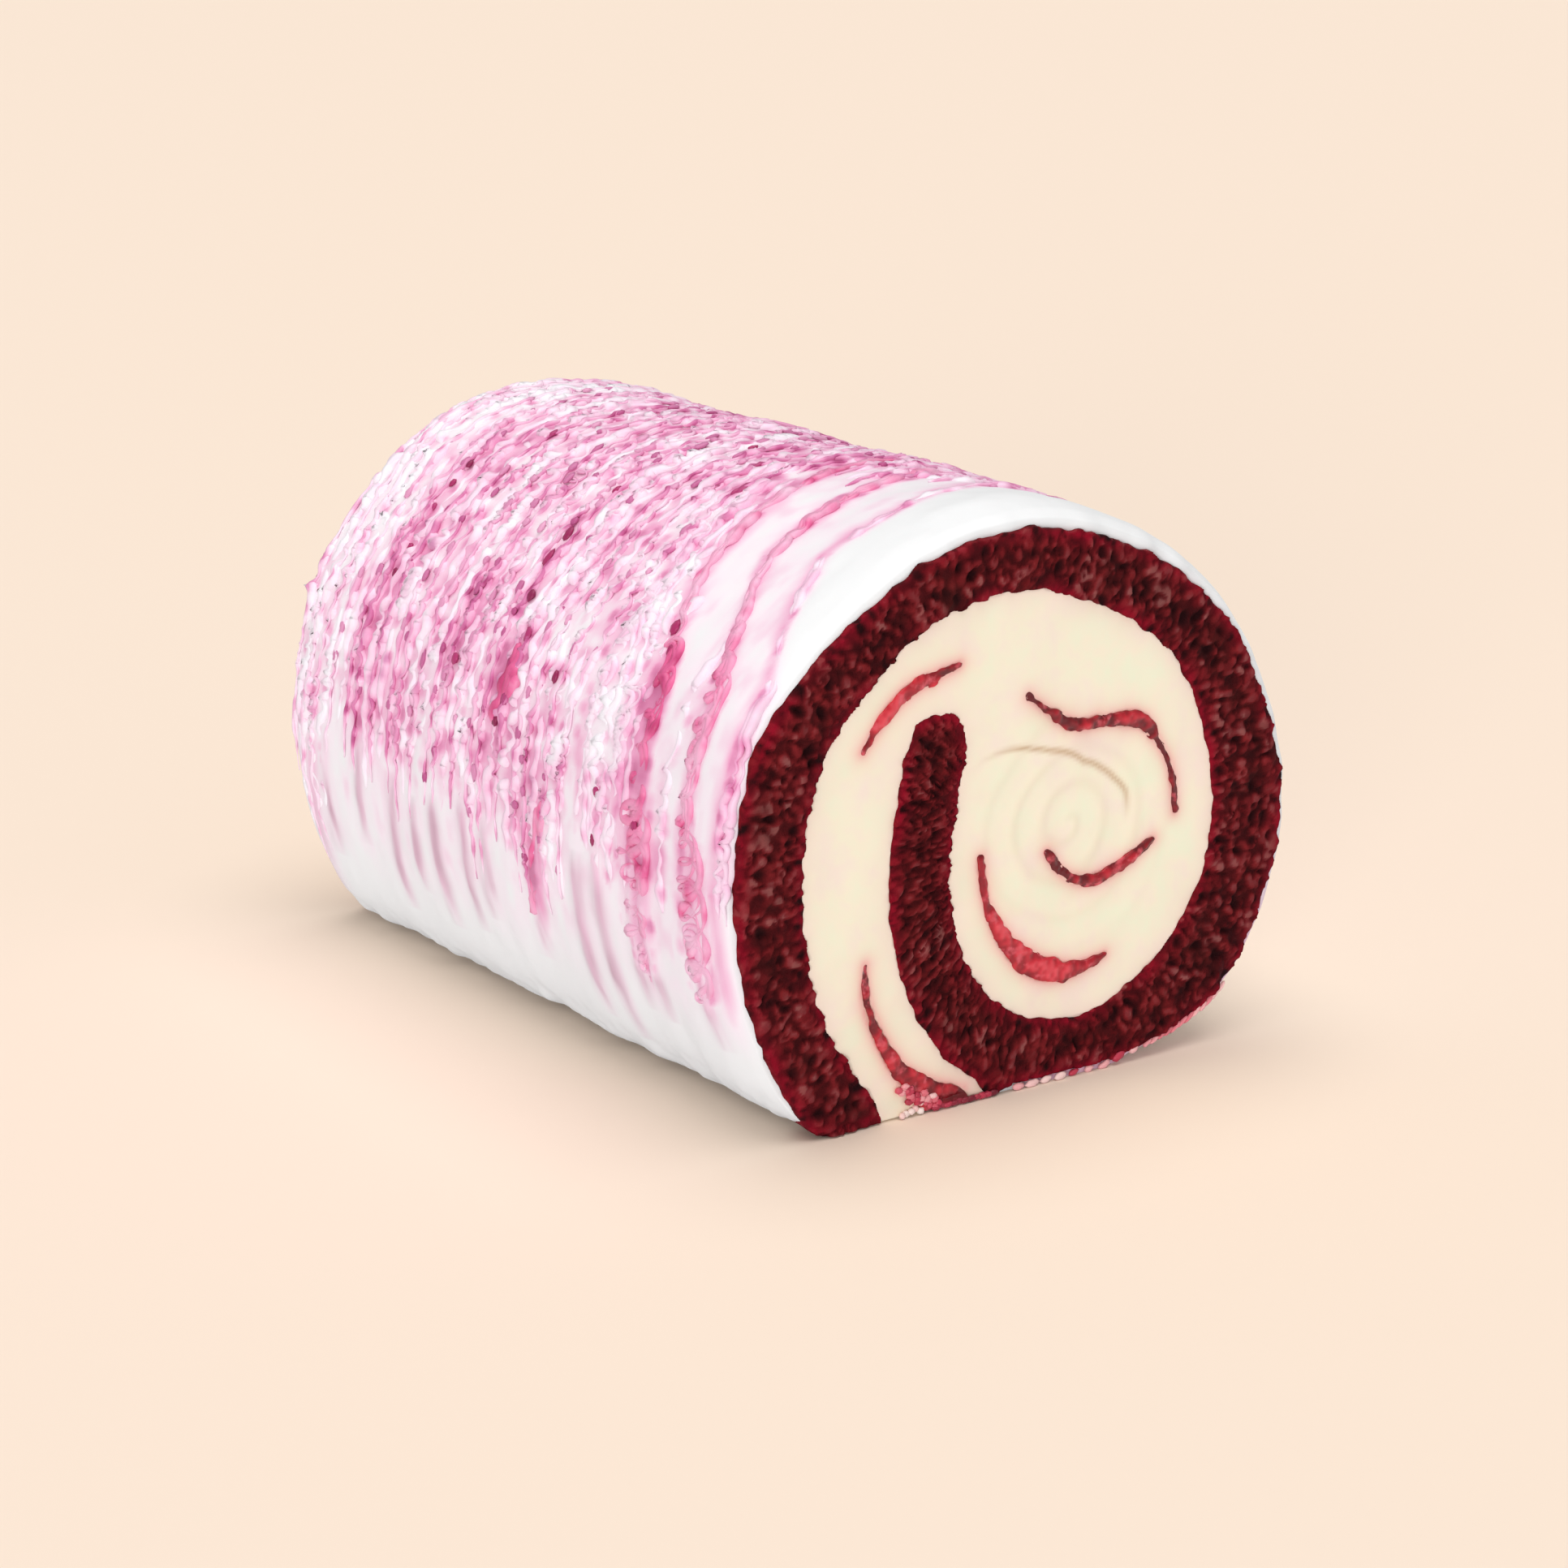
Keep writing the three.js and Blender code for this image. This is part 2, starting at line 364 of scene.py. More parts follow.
# %% What is measured, and how the foot is rounded
MIDDLE_HEIGHT = 40.0
RADIUS = 46.0  # of the roll, near enough to turn an angle into mm
ANGLE_STEP = 0.5
ANGLES = np.arange(-90.0, 270.0 + ANGLE_STEP, ANGLE_STEP)
STATIONS = np.linspace(-HALF_LENGTH, HALF_LENGTH, 64)
FOOT_ANGLES = (-50.0, 228.0)  # where the coat turns under, on the right and on the left
FOOT_BLUR = 3.5  # degrees over which that turn is rounded off
FOOT_SPREAD = 8  # degrees to each side that are rounded with it
CURLED_IN = 1.5  # mm by which the left foot curls in, over the table
CURL_ANGLE, CURL_SPREAD = 233.5, 5
LIFTED = 0.8  # mm of dark gap between its lower edge and the table
LIFT_ANGLE, LIFT_SPREAD = 236, 7


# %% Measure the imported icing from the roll's middle line
def look_in(bvh, angle, station):
    """How far the surface is from the middle line, at this angle and place along the roll."""
    station = np.clip(station, 0.01 - HALF_LENGTH, HALF_LENGTH - 0.01)
    middle = Vector((0, station, MIDDLE_HEIGHT)) * MM
    for nudge in (0, 1e-4, -1e-4):  # radians of turn, in case a ray slips between two triangles
        turned = math.radians(angle) + nudge
        outward = Vector((math.cos(turned), 0, math.sin(turned)))
        hit = bvh.ray_cast(middle + outward * 0.2, -outward)[0]
        if hit:
            return (hit - middle).length / MM
    raise ValueError(f"nothing to measure at {angle} degrees, {station} mm")


def soften(table, degrees):
    """Average a table over its angles."""
    steps = np.arange(-3 * degrees, 3 * degrees + ANGLE_STEP / 2, ANGLE_STEP)
    weights = bell(steps, 0, degrees)
    weights /= weights.sum()
    padded = np.pad(table, ((len(steps) // 2,) * 2, (0, 0)), mode="wrap")
    return np.stack([np.convolve(column, weights, "valid") for column in padded.T], 1)


packed = merged_copy("measured_icing", "icing")
bvh = BVHTree.FromObject(packed, bpy.context.evaluated_depsgraph_get())
reach = np.array([[look_in(bvh, angle, station) for station in STATIONS] for angle in ANGLES])
bpy.data.objects.remove(packed)
by_foot = sum(bell(ANGLES, foot, FOOT_SPREAD) for foot in FOOT_ANGLES)[:, None]
reach += by_foot * (soften(reach, FOOT_BLUR) - reach)
reach -= CURLED_IN * np.exp(-(((ANGLES - CURL_ANGLE) / CURL_SPREAD) ** 2))[:, None]
gap = LIFTED * np.exp(-(((ANGLES - LIFT_ANGLE) / LIFT_SPREAD) ** 2))
downward = np.maximum(-np.sin(np.radians(ANGLES)), 0.1)
reach = np.minimum(reach, ((MIDDLE_HEIGHT - gap) / downward)[:, None])
print("icing reaches from", round(reach.min(), 1), "to", round(reach.max(), 1), "mm")


# %% A place on the icing from an angle and a distance along the roll
def on_icing(angle, along):
    """The icing's reach in mm at these angles and places along the roll."""
    i = np.clip((angle - ANGLES[0]) / ANGLE_STEP, 0, len(ANGLES) - 1.001)
    j = np.clip((along - STATIONS[0]) / (STATIONS[1] - STATIONS[0]), 0, len(STATIONS) - 1.001)
    low_i, low_j = i.astype(int), j.astype(int)
    s, t = i - low_i, j - low_j
    near = reach[low_i, low_j] * (1 - s) + reach[low_i + 1, low_j] * s
    far = reach[low_i, low_j + 1] * (1 - s) + reach[low_i + 1, low_j + 1] * s
    return near * (1 - t) + far * t


def wrapped(angle, along, height=0.0):
    """Places in mm that stand this high over the icing."""
    out = on_icing(angle, along) + height
    radians = np.radians(angle)
    x, z = out * np.cos(radians), MIDDLE_HEIGHT + out * np.sin(radians)
    return np.stack([x, along, np.maximum(z, 0)], -1)


def unrolled(angle, along):
    """The same places on the unrolled sheet, in mm, for the patterns of unevenness."""
    return np.stack([np.radians(angle) * RADIUS, along + 0 * angle, 0 * angle], -1)


def around(places):
    """The angle, from -90 to 270, at which these places lie."""
    turned = np.degrees(np.arctan2(places[:, 2] - MIDDLE_HEIGHT, places[:, 0]))
    return (turned + 90) % 360 - 90


# %% [markdown]
# ## Food that runs through the roll
#
# Sponge, cream and jam are the same all the way along, and only their two cut faces show. A mesh
# with even cells would spend most of them on the hidden sides. So the copy is first squeezed
# along the roll, given an even mesh, and then drawn out again, with its cells kept close together
# near the faces. Its outline is pushed out a little to close the gap to its neighbours, with lumps
# that a knife and a soft crumb leave, and by the cut it settles down to the table.

# %% Make a piece that runs through the roll
SQUEEZE = 18.0  # how many times shorter a piece is while it gets its mesh
CROWDING = 2.2  # more than 1 keeps the cells close together near the faces
FOOT = 1.6  # mm: what lies lower than this sinks to the table, on the last fold's side
LAST_FOLD = (-6, 0)  # x in mm, over which the last fold's side gives way to the rest
SINK_STARTS, SINK_ENDS = 4, 1.5  # mm from the cut, over which it comes down
SETTLED = 0.15  # mm above the table, just clear of it


def run_through(name, node, cell, outline):
    """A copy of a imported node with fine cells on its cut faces. outline(places) says how far its
    side is pushed out there, in mm."""
    piece = merged_copy(name, node)
    places = places_of(piece)
    places[:, 1] /= SQUEEZE
    move_to(piece, places)
    for stage in ("outline", "surface"):
        remesh(piece, cell)
        places = places_of(piece)
        share = np.clip(np.abs(places[:, 1]) / places[:, 1].max(), 0, 1)
        drawn_out = places.copy()
        drawn_out[:, 1] = np.sign(places[:, 1]) * HALF_LENGTH * (1 - (1 - share) ** CROWDING)
        if stage == "outline":
            places[:, [0, 2]] += normals_of(piece)[:, [0, 2]] * outline(drawn_out)[:, None]
            low = 1 - smooth_step(places[:, 2], FOOT, 2 * FOOT)
            low *= 1 - smooth_step(places[:, 0], *LAST_FOLD)
            out = np.abs(drawn_out[:, 1])
            low *= smooth_step(out, HALF_LENGTH - SINK_STARTS, HALF_LENGTH - SINK_ENDS)
            places[:, 2] = np.maximum(places[:, 2] - low * (FOOT - SETTLED), SETTLED)
            move_to(piece, places)
    move_to(piece, drawn_out)
    return piece


# %% Measure from a piece's outline, on its cut faces
def from_outline(places, *nodes):
    """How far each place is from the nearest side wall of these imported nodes, in mm."""
    corners, walls = [], []
    for node in nodes:
        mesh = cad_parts[node].data
        for polygon in mesh.polygons:
            if abs(polygon.normal.y) < 0.5:
                walls.append(range(len(corners), len(corners) + len(polygon.vertices)))
                corners.extend(mesh.vertices[v].co for v in polygon.vertices)
    bvh = BVHTree.FromPolygons(corners, [tuple(wall) for wall in walls])
    inside = places.copy()
    inside[:, 1] = 0
    return np.array([bvh.find_nearest(Vector(place * MM))[3] / MM for place in inside])


def face_share(places):
    """1 on the two cut faces and 0 elsewhere, and -1 or 1 for the way that each face looks."""
    out = np.abs(places[:, 1])
    return smooth_step(out, HALF_LENGTH - 0.4, HALF_LENGTH - 0.05), np.sign(places[:, 1])


# %% Finish a piece
def finish_piece(piece, material, slot=None, *nodes):
    """Give the piece its material, smooth it, hang it on the root, and hide the imported nodes that
    it stands in for.
    """
    piece.data.materials.append(material)
    only(piece)
    bpy.ops.object.shade_smooth()
    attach(piece, "root")
    if nodes:
        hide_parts(*nodes)
    print(f"{piece.name}: {len(piece.data.polygons)} faces of {material.name}")


# %% [markdown]
# ## The sponge
#
# Red velvet sponge has a dark, open crumb. A cut through it shows air holes of about a
# millimetre, soft crumbs between them, drawn out across the sheet where it rose in the oven, and
# an outline that the knife has torn into knobs. The holes and crumbs are modelled, because they
# catch the light. Each vertex also remembers how deep it lies, so that the material can paint
# shade into the holes and between the crumbs.

# %% Shape the sponge's outline
SPONGE_CELL = 0.365
ICING_OVER_SPONGE = 0.4  # mm of icing that is left over the highest knob


def sponge_outline(places):
    """How far the torn edge of the sponge stands out."""
    knob, size = grains(places, (2.7, 5.5, 2.7), 11)
    knobs = (0.7 + 0.8 * size) * (0.62 - knob)
    swell = 0.3 * lumps(places, (9, 9, 9), 10) + 0.2 * lumps(places, (1.3, 4, 1.3), 12)
    out = np.hypot(places[:, 0], places[:, 2] - MIDDLE_HEIGHT)
    room = on_icing(around(places), places[:, 1]) - out - ICING_OVER_SPONGE
    return np.minimum(0.35 + swell + knobs, room)


sponge = run_through("sponge_sheet", "sponge", SPONGE_CELL, sponge_outline)
print("sponge:", len(sponge.data.polygons), "faces")

# %% Give its cut faces their crumbs and holes
SPONGE_PROUD = 0.35  # how far the crumb springs out past the cut
SPONGE_MIDDLE = np.array([0.0, 38.0])  # that the sheet winds round, as x and height
SPONGE_RADIUS = 38  # at which it winds, near enough to turn an angle into mm
# Their sizes in mm: round the roll, along it, and across the sheet.
CRUMB_SIZE = (1.25, 2.2, 1.25)
HOLE_SIZE = (1.9, 3.0, 1.9)
PINHOLE_SIZE = (0.95, 1.8, 0.95)

places = places_of(sponge)
on_face, way = face_share(places)
edge = from_outline(places, "sponge")
across = places[:, [0, 2]] - SPONGE_MIDDLE
turned = np.arctan2(across[:, 1], across[:, 0]) * SPONGE_RADIUS
crumbs_at = np.stack([turned, places[:, 1], np.linalg.norm(across, axis=1) * 0.75], -1)
crumbs_at += 0.5 * np.stack([lumps(places, 2.2, seed) for seed in (15, 16, 17)], -1)

crumb, which_crumb = grains(crumbs_at, CRUMB_SIZE, 41)
hole, which_hole = grains(crumbs_at, HOLE_SIZE, 21)
pinhole, which_pinhole = grains(crumbs_at, PINHOLE_SIZE, 31)
deep = np.where(which_hole > 0.6, 1 - smooth_step(hole, 0.15, 0.55), 0)
pinholes = np.where(which_pinhole > 0.6, 1 - smooth_step(pinhole, 0.2, 0.6), 0)
deep = np.maximum(deep, 0.6 * pinholes)
between = smooth_step(crumb, 0.35, 0.8)
height = SPONGE_PROUD - 0.4 * between + 0.3 * lumps(places, 4.5, 51, 2) - 0.6 * deep
height += 0.25 * which_crumb * (1 - between) - 0.35 * np.exp(-edge / 0.5)
lowest = -0.15 - 0.55 * smooth_step(edge, 1.0, 1.6)  # over the cream and icing under its edge
places[:, 1] += way * on_face * np.clip(height, lowest, 0.9)
move_to(sponge, places)

# Paler on each crumb and darker between the crumbs and in the holes: partly the crumbs' own tone,
# which varies at random, and partly painted light and shade on the relief.
light = (1 - between) * (0.3 + 0.7 * which_crumb) + 0.35 * lumps(places, 3.0, 52, 2)
note(sponge, "light", np.clip(light * (1 - deep), 0, 1))
# Painted shade in the holes and between the crumbs, where the relief is lowest.
note(sponge, "depth", np.clip(0.85 * deep + 0.4 * between, 0, 1))
note(sponge, "crust", np.exp(-edge / 1.0) * np.clip(0.75 + 0.9 * lumps(places, 6, 53), 0, 1))
print("share of its vertices in a hole:", round(float((deep > 0.5).mean()), 2))

# %% Red velvet sponge: baked cocoa crumb, matt, with painted shade in its holes and between its crumbs
MOTTLE_STOPS = [(0.36, "340205"), (0.5, "58090e"), (0.64, "7a1a1c")]
# The crumbs' ramp runs from painted shade between them up to the palest crumbs.
CRUMB_STOPS = [(0, "2a0205"), (0.3, "560a0f"), (0.6, "842226"), (0.85, "8e4042"), (1, "a2605c")]


def red_velvet_sponge():
    material, tree = new_material("red_velvet_sponge")
    coordinates = add(tree, "ShaderNodeTexCoord").outputs["Object"]
    mottle, patches, grit = (
        add(
            tree,
            "ShaderNodeTexNoise",
            {"Scale": 1 / (size * MM), "Detail": detail, "Roughness": roughness},
            {"Vector": coordinates},
        ).outputs["Fac"]
        for size, detail, roughness in ((3.2, 4, 0.65), (8, 3, 0.6), (0.5, 2, 0.5))
    )
    light, crust, depth = (
        add(tree, "ShaderNodeAttribute", {"attribute_name": name}).outputs["Fac"]
        for name in ("light", "crust", "depth")
    )
    mottled = add(tree, "ShaderNodeValToRGB", {"stops": MOTTLE_STOPS}, {"Fac": mottle})
    crumbs = add(tree, "ShaderNodeValToRGB", {"stops": CRUMB_STOPS}, {"Fac": light})
    colour = add(
        tree,
        "ShaderNodeMix",
        {"data_type": "RGBA", AMOUNT: 0.6},
        {FIRST: mottled.outputs["Color"], SECOND: crumbs.outputs["Color"]},
    ).outputs[MIXED]
    baked = add(
        tree,
        "ShaderNodeMapRange",
        {"From Min": 0.52, "From Max": 0.72, "To Max": 0.75},
        {"Value": patches},
    ).outputs["Result"]
    # Browner in broad patches, redder at its crust, and painted shade in its holes and between its
    # crumbs.
    for amount, swatch in ((baked, "3c0f0c"), (crust, "8e0420"), (depth, "200104")):
        colour = add(
            tree,
            "ShaderNodeMix",
            {"data_type": "RGBA", SECOND: linear(swatch)},
            {AMOUNT: amount, FIRST: colour},
        ).outputs[MIXED]
    bump = add(tree, "ShaderNodeBump", {"Strength": 0.6, "Distance": 0.25 * MM}, {"Height": grit})
    shader = add(
        tree,
        "ShaderNodeBsdfPrincipled",
        {"Roughness": 0.8, "Specular IOR Level": 0.12},
        {"Base Color": colour, "Normal": bump.outputs["Normal"]},
    )
    add(tree, "ShaderNodeOutputMaterial", links={"Surface": shader.outputs["BSDF"]})
    return material


finish_piece(sponge, red_velvet_sponge(), "sponge", "sponge")

# %% [markdown]
# ## The cream
#
# The filling is a pale, fatty cream that was spread with a palette knife and then wound up, so
# its cut face is smooth, with faint ridges that follow the roll's spiral. It lies a little behind
# the sponge, and reaches under its torn edge. Where it touches sponge or jam it takes up a little
# of their red.

# %% Shape the cream
JAM_NODES = ("jam_over_lip", "jam_upper_wave", "jam_middle", "jam_crescent", "jam_by_seam")
CREAM_CELL = 0.5
CREAM_UNDER = 0.8  # how far it reaches under its neighbours
SWIRL_MIDDLE = np.array([8.0, 38.5])  # of the cream's own spiral, as x and height
SWIRL_PITCH = 5.0
# Where one turn of cream met the next, a shallow groove runs, with a thin tan line of painted
# shade along it, as (degrees, mm from the middle).
SWIRL_LINE = [
    (-14, 11.1), (14, 10.8), (30, 9.6), (47, 8.9), (71, 8.5),
    (90, 9.7), (107, 11.0), (118, 12.7), (128, 15.0), (145, 18.9),
]
LINE_STARTS, LINE_ENDS = (-14, 20), (122, 150)  # degrees over which it comes and goes


def cream_outline(places):
    """The cream reaches under its neighbours by the same amount all round."""
    return np.full(len(places), CREAM_UNDER)


cream = run_through("cream_filling", "cream", CREAM_CELL, cream_outline)
places = places_of(cream)
on_face, way = face_share(places)
from_middle = places[:, [0, 2]] - SWIRL_MIDDLE
distance = np.linalg.norm(from_middle, axis=1)
turn = np.arctan2(from_middle[:, 1], from_middle[:, 0]) / (2 * math.pi)
swirl = (distance / SWIRL_PITCH + turn + 0.35 * lumps(places, 12.0, 61)) % 1
ridge = bell(swirl, 0.5, 0.12) * (1 - smooth_step(distance, 8, 24))
line_at = follow(SWIRL_LINE, turn * 360)
line_ends = smooth_step(turn * 360, *LINE_STARTS) * (1 - smooth_step(turn * 360, *LINE_ENDS))
line = line_ends * np.exp(-(((distance - line_at - 0.15 * lumps(places, 9.0, 63)) / 0.5) ** 2))
smear = 0.16 * ridge - 0.12 * line + 0.14 * lumps(places, 8.0, 62, 3)
places[:, 1] += way * on_face * (-0.35 + smear)
move_to(cream, places)
# The tan along the groove, and faintly on the ridges, is painted shade.
note(cream, "line", np.clip(line + 0.12 * ridge, 0, 1))
note(cream, "stain", np.exp(-from_outline(places, "sponge") / 1.6))
note(cream, "blush", np.exp(-from_outline(places, *JAM_NODES) / 0.9))
print("cream: knife marks from", round(smear.min(), 2), "to", round(smear.max(), 2), "mm")

# %% Whipped cream: smooth and fatty, so light passes a little way into it
CREAM_STOPS = [(0.34, "fde8d8"), (0.5, "fcefd5"), (0.66, "f6f3d6")]
# The line tint is painted shade along the swirl's groove.
CREAM_TINTS = {"stain": "fadfcf", "blush": "f6b3aa", "line": "d6b795"}


def whipped_cream():
    material, tree = new_material("whipped_cream")
    coordinates = add(tree, "ShaderNodeTexCoord").outputs["Object"]
    clouds = add(
        tree,
        "ShaderNodeTexNoise",
        {"Scale": 1 / (9 * MM), "Detail": 3.0, "Roughness": 0.6},
        {"Vector": coordinates},
    )
    tone = add(
        tree, "ShaderNodeValToRGB", {"stops": CREAM_STOPS}, {"Fac": clouds.outputs["Fac"]}
    )
    colour = tone.outputs["Color"]
    for name, swatch in CREAM_TINTS.items():
        amount = add(tree, "ShaderNodeAttribute", {"attribute_name": name})
        colour = add(
            tree,
            "ShaderNodeMix",
            {"data_type": "RGBA", SECOND: linear(swatch)},
            {AMOUNT: amount.outputs["Fac"], FIRST: colour},
        ).outputs[MIXED]
    shader = add(
        tree,
        "ShaderNodeBsdfPrincipled",
        {
            "Roughness": 0.5,
            "Specular IOR Level": 0.3,
            "Subsurface Weight": 0.1,
            "Subsurface Radius": (1.0, 0.8, 0.6),
            "Subsurface Scale": 1.2 * MM,
        },
        {"Base Color": colour},
    )
    add(tree, "ShaderNodeOutputMaterial", links={"Surface": shader.outputs["BSDF"]})
    return material


finish_piece(cream, whipped_cream(), "cream", "cream")

# %% [markdown]
# ## The jam
#
# Red jam was spread over the cream and drawn into thin streaks as the sheet was rolled. It is
# wet, so it shines, and it bulges a little from the cut. It is darkest at the ends of a streak,
# and its thick parts are lumpy with bits of fruit.

# %% The jam's ragged side
JAM_CELL = 0.2
# Where a streak is thicker or thinner, as (x, height, how far round that, mm more on each side).
THICK_PLACES = [(19, 51.4, 3, 0.15), (27, 41, 6, -0.1), (-24.7, 14, 6, -0.35)]


def jam_outline(places):
    """How far the jam's ragged side stands out."""
    out = 0.05 + 0.38 * lumps(places, 2.0, 71) + 0.22 * lumps(places, 0.9, 72)
    for x, height, spread, more in THICK_PLACES:
        apart = (places[:, 0] - x) ** 2 + (places[:, 2] - height) ** 2
        out += more * np.exp(-apart / spread**2)
    return out


# %% Jam: cooked fruit and sugar, clear red and wet
JAM_STOPS = [(0, "e64c56"), (0.3, "cb2835"), (0.55, "a71825"), (0.8, "85101a"), (1, "670d13")]
FRUIT = "df5964"


def red_jam():
    material, tree = new_material("red_jam")
    coordinates = add(tree, "ShaderNodeTexCoord").outputs["Object"]
    thin = add(tree, "ShaderNodeAttribute", {"attribute_name": "thin"}).outputs["Fac"]
    tone = add(tree, "ShaderNodeValToRGB", {"stops": JAM_STOPS}, {"Fac": thin})
    mottle = add(
        tree,
        "ShaderNodeTexNoise",
        {"Scale": 1 / (1.6 * MM), "Detail": 3.0},
        {"Vector": coordinates},
    )
    spots = add(
        tree,
        "ShaderNodeMapRange",
        {"From Min": 0.55, "From Max": 0.75},
        {"Value": mottle.outputs["Fac"]},
    )
    mixed = add(
        tree,
        "ShaderNodeMix",
        {"data_type": "RGBA", SECOND: linear(FRUIT)},
        {AMOUNT: spots.outputs["Result"], FIRST: tone.outputs["Color"]},
    )
    shader = add(
        tree,
        "ShaderNodeBsdfPrincipled",
        {"Roughness": 0.3, "Specular IOR Level": 0.45},
        {"Base Color": mixed.outputs[MIXED]},
    )
    add(tree, "ShaderNodeOutputMaterial", links={"Surface": shader.outputs["BSDF"]})
    return material


# %% Shape the five streaks
DEEPER = {"jam_upper_wave": 0.45, "jam_middle": 0.4, "jam_by_seam": 0.25}  # darker all over
jam_material = red_jam()
for number, node in enumerate(JAM_NODES):
    jam = run_through(node.replace("jam", "jam_streak"), node, JAM_CELL, jam_outline)
    places = places_of(jam)
    on_face, way = face_share(places)
    edge = from_outline(places, node)
    bits = lumps(places, 1.4, 81 + number, 2)
    places[:, 1] += way * on_face * (0.05 + 0.2 * bits - 0.3 * np.exp(-edge / 0.3))
    from_middle = np.linalg.norm((places - places.mean(0))[:, [0, 2]], axis=1)
    thin = 0.22 + 0.5 * (from_middle / from_middle.max()) ** 1.5 - 0.38 * bits
    thin += 0.12 * np.exp(-edge / 0.4) + DEEPER.get(node, 0)
    move_to(jam, places)
    note(jam, "thin", np.clip(thin, 0, 1))
    finish_piece(jam, jam_material, "jam", node)

# %% [markdown]
# ## Planning the threads
#
# White and pink icing was trailed round the roll from a fine nozzle. Where the nozzle moved fast
# the thread lies straight, and where it slowed, low on the sides, the thread folded up into a band
# of small loops. Over the far half these bands lie close together, like a net. Nearer the front
# they are few, and two thick pink strands run down between pale ones and end in coils. The bands
# are planned before the icing is made, because it is stained by them. Each is a middle line, with
# a half width for its loops and a thickness for its thread.

# %% One band
DEGREE = math.radians(1) * RADIUS  # mm round the roll
THREAD_RADIUS = 0.72
LOWEST_RINGS = (172, 186)  # degrees, over which a strand's rings widen to its lowest ones


def taper(share, head, tail):
    """A thread's thickness along its way: it starts and ends in a point."""
    return np.clip(share / head, 0.05, 1) ** 0.6 * np.clip((1 - share) / tail, 0.05, 1) ** 0.7


def band(start, end, along, half_width, thick, course=None, opens_at=None, runs_out=16):
    """One band as (angles, places along the roll, half widths, thicknesses), degree by degree.
    course is a list of (angle, along) that it follows. It may open out past an angle, opens_at,
    and its loops die away over the last runs_out degrees."""
    angle = np.arange(start, end, 1.0)
    opens = np.ones(len(angle))
    if opens_at:
        opens = 0.4 + 0.6 * smooth_step(angle, opens_at, opens_at + 12)
    middle = along * opens
    if course:
        middle += follow(course, angle)
    spot = unrolled(angle, middle)
    middle += (0.25 if course else 1.0) * lumps(spot, (42, 17, 1), 204)
    middle += 0.35 * lumps(spot, (11, 3, 1), 206)
    straightens = smooth_step(end - angle, 1, runs_out) * smooth_step(angle - start, 3, 16)
    width = half_width * straightens * opens * (1 + 0.45 * lumps(spot, (9, 3, 1), 207))
    if opens_at:
        width *= 1 + 1.2 * smooth_step(angle, *LOWEST_RINGS)
    share = np.linspace(0, 1, len(angle))
    thickness = thick * (1 + 0.3 * (1 - straightens)) * taper(share, 0.04, runs_out / 180)
    return angle, middle, width, thickness


# %% The bands over the top and the far half of the roll
BAND_STEP = 2.55  # mm from one band to the next
SIDE_END = 194  # degrees, where most threads end on the left side
# Where a few threads run together, they run on further down, as (along, spread, degrees).
TAILS = [
    (-28, 2.2, 4), (-12, 3, 12), (2, 2.5, 7), (16, 1.8, 3), (30, 3, 2), (44, 3.5, -6), (55, 4.5, 18)
]
BARE_FRONT = -21  # mm along: in front of this they stop high up, and leave the icing bare below
random = np.random.default_rng(5)

white_bands, pink_bands = [], []
for number, along in enumerate(np.arange(-46, HALF_LENGTH - 1.2, BAND_STEP)):
    start = random.uniform(-24, -4)
    end = SIDE_END + sum(more * bell(along, at, spread) for at, spread, more in TAILS)
    end += random.uniform(-4, 4)
    if along < BARE_FRONT:
        end = random.uniform(96, 108) + 0.8 * (along + 30)
    chosen = white_bands if number % 5 in (1, 3) else pink_bands
    chosen.append(band(start, end, along, random.uniform(0.6, 1.1), random.uniform(0.9, 1.15)))
print(len(white_bands), "white and", len(pink_bands), "pink bands")

# %% The courses of the bands nearer the front, as (angle, along) down the left side
COURSES = {
    "over the shoulder": [
        (84, -24), (112, -27.5), (122, -28.5), (131, -29.8), (138, -31.5),
        (145, -34), (150, -36.5), (156, -38.7), (175, -39.8), (210, -40.5),
    ],
    "down the middle": [
        (80, -34), (105, -37), (125, -38.5), (132, -41), (140, -45), (147, -48.5),
        (153, -51), (160, -52), (172, -52), (181, -54.5), (208, -56),
    ],
    "along the rim": [
        (76, -44), (100, -48), (122, -48.7), (130, -51),
        (140, -55.5), (148, -60), (155, -61), (190, -61.3),
    ],
    "beside the net": [(104, -21), (120, -22.5), (150, -25), (165, -26), (188, -29)],
    "knot": [(159, -2.6), (173, -1.4)],
    "drip": [(183, -15.5), (206, -10.8)],
}
OPENS_AT = 142  # degrees, where threads that lay close together begin to part
# The threads of each strand: how far to each side they run where it is open, the half width of
# their loops, how thick they are, and whether they coil into rings.
STRANDS = {
    "over the shoulder": ((-0.6, 0, 0.6), 1.15, 0.75, True),
    "down the middle": ((-0.7, 0, 0.7), 1.1, 0.75, True),
    "knot": ((-1.5, -0.5, 0.5, 1.5), 0.8, 0.9, False),
    "drip": ((-0.9, 0, 0.9), 0.45, 0.68, False),
}

# %% The strands, and the pale threads among them
strand_bands, coiled = [], []
for name, (places_beside, half_width, thick, coils) in STRANDS.items():
    course = COURSES[name]
    for sideways in places_beside:
        start = course[0][0] + random.uniform(-3, 3)
        end = course[-1][0] + random.uniform(-6, 0)
        strand_bands.append(band(start, end, sideways, half_width, thick, course, OPENS_AT, 5))
        coiled.append(coils)

pale_bands = []
for name in ("along the rim", "beside the net"):
    course = COURSES[name]
    for sideways in (-0.5, 0.5):
        start, end = course[0][0], course[-1][0]
        pale_bands.append(band(start, end, sideways, 0.7, 0.8, course, OPENS_AT))
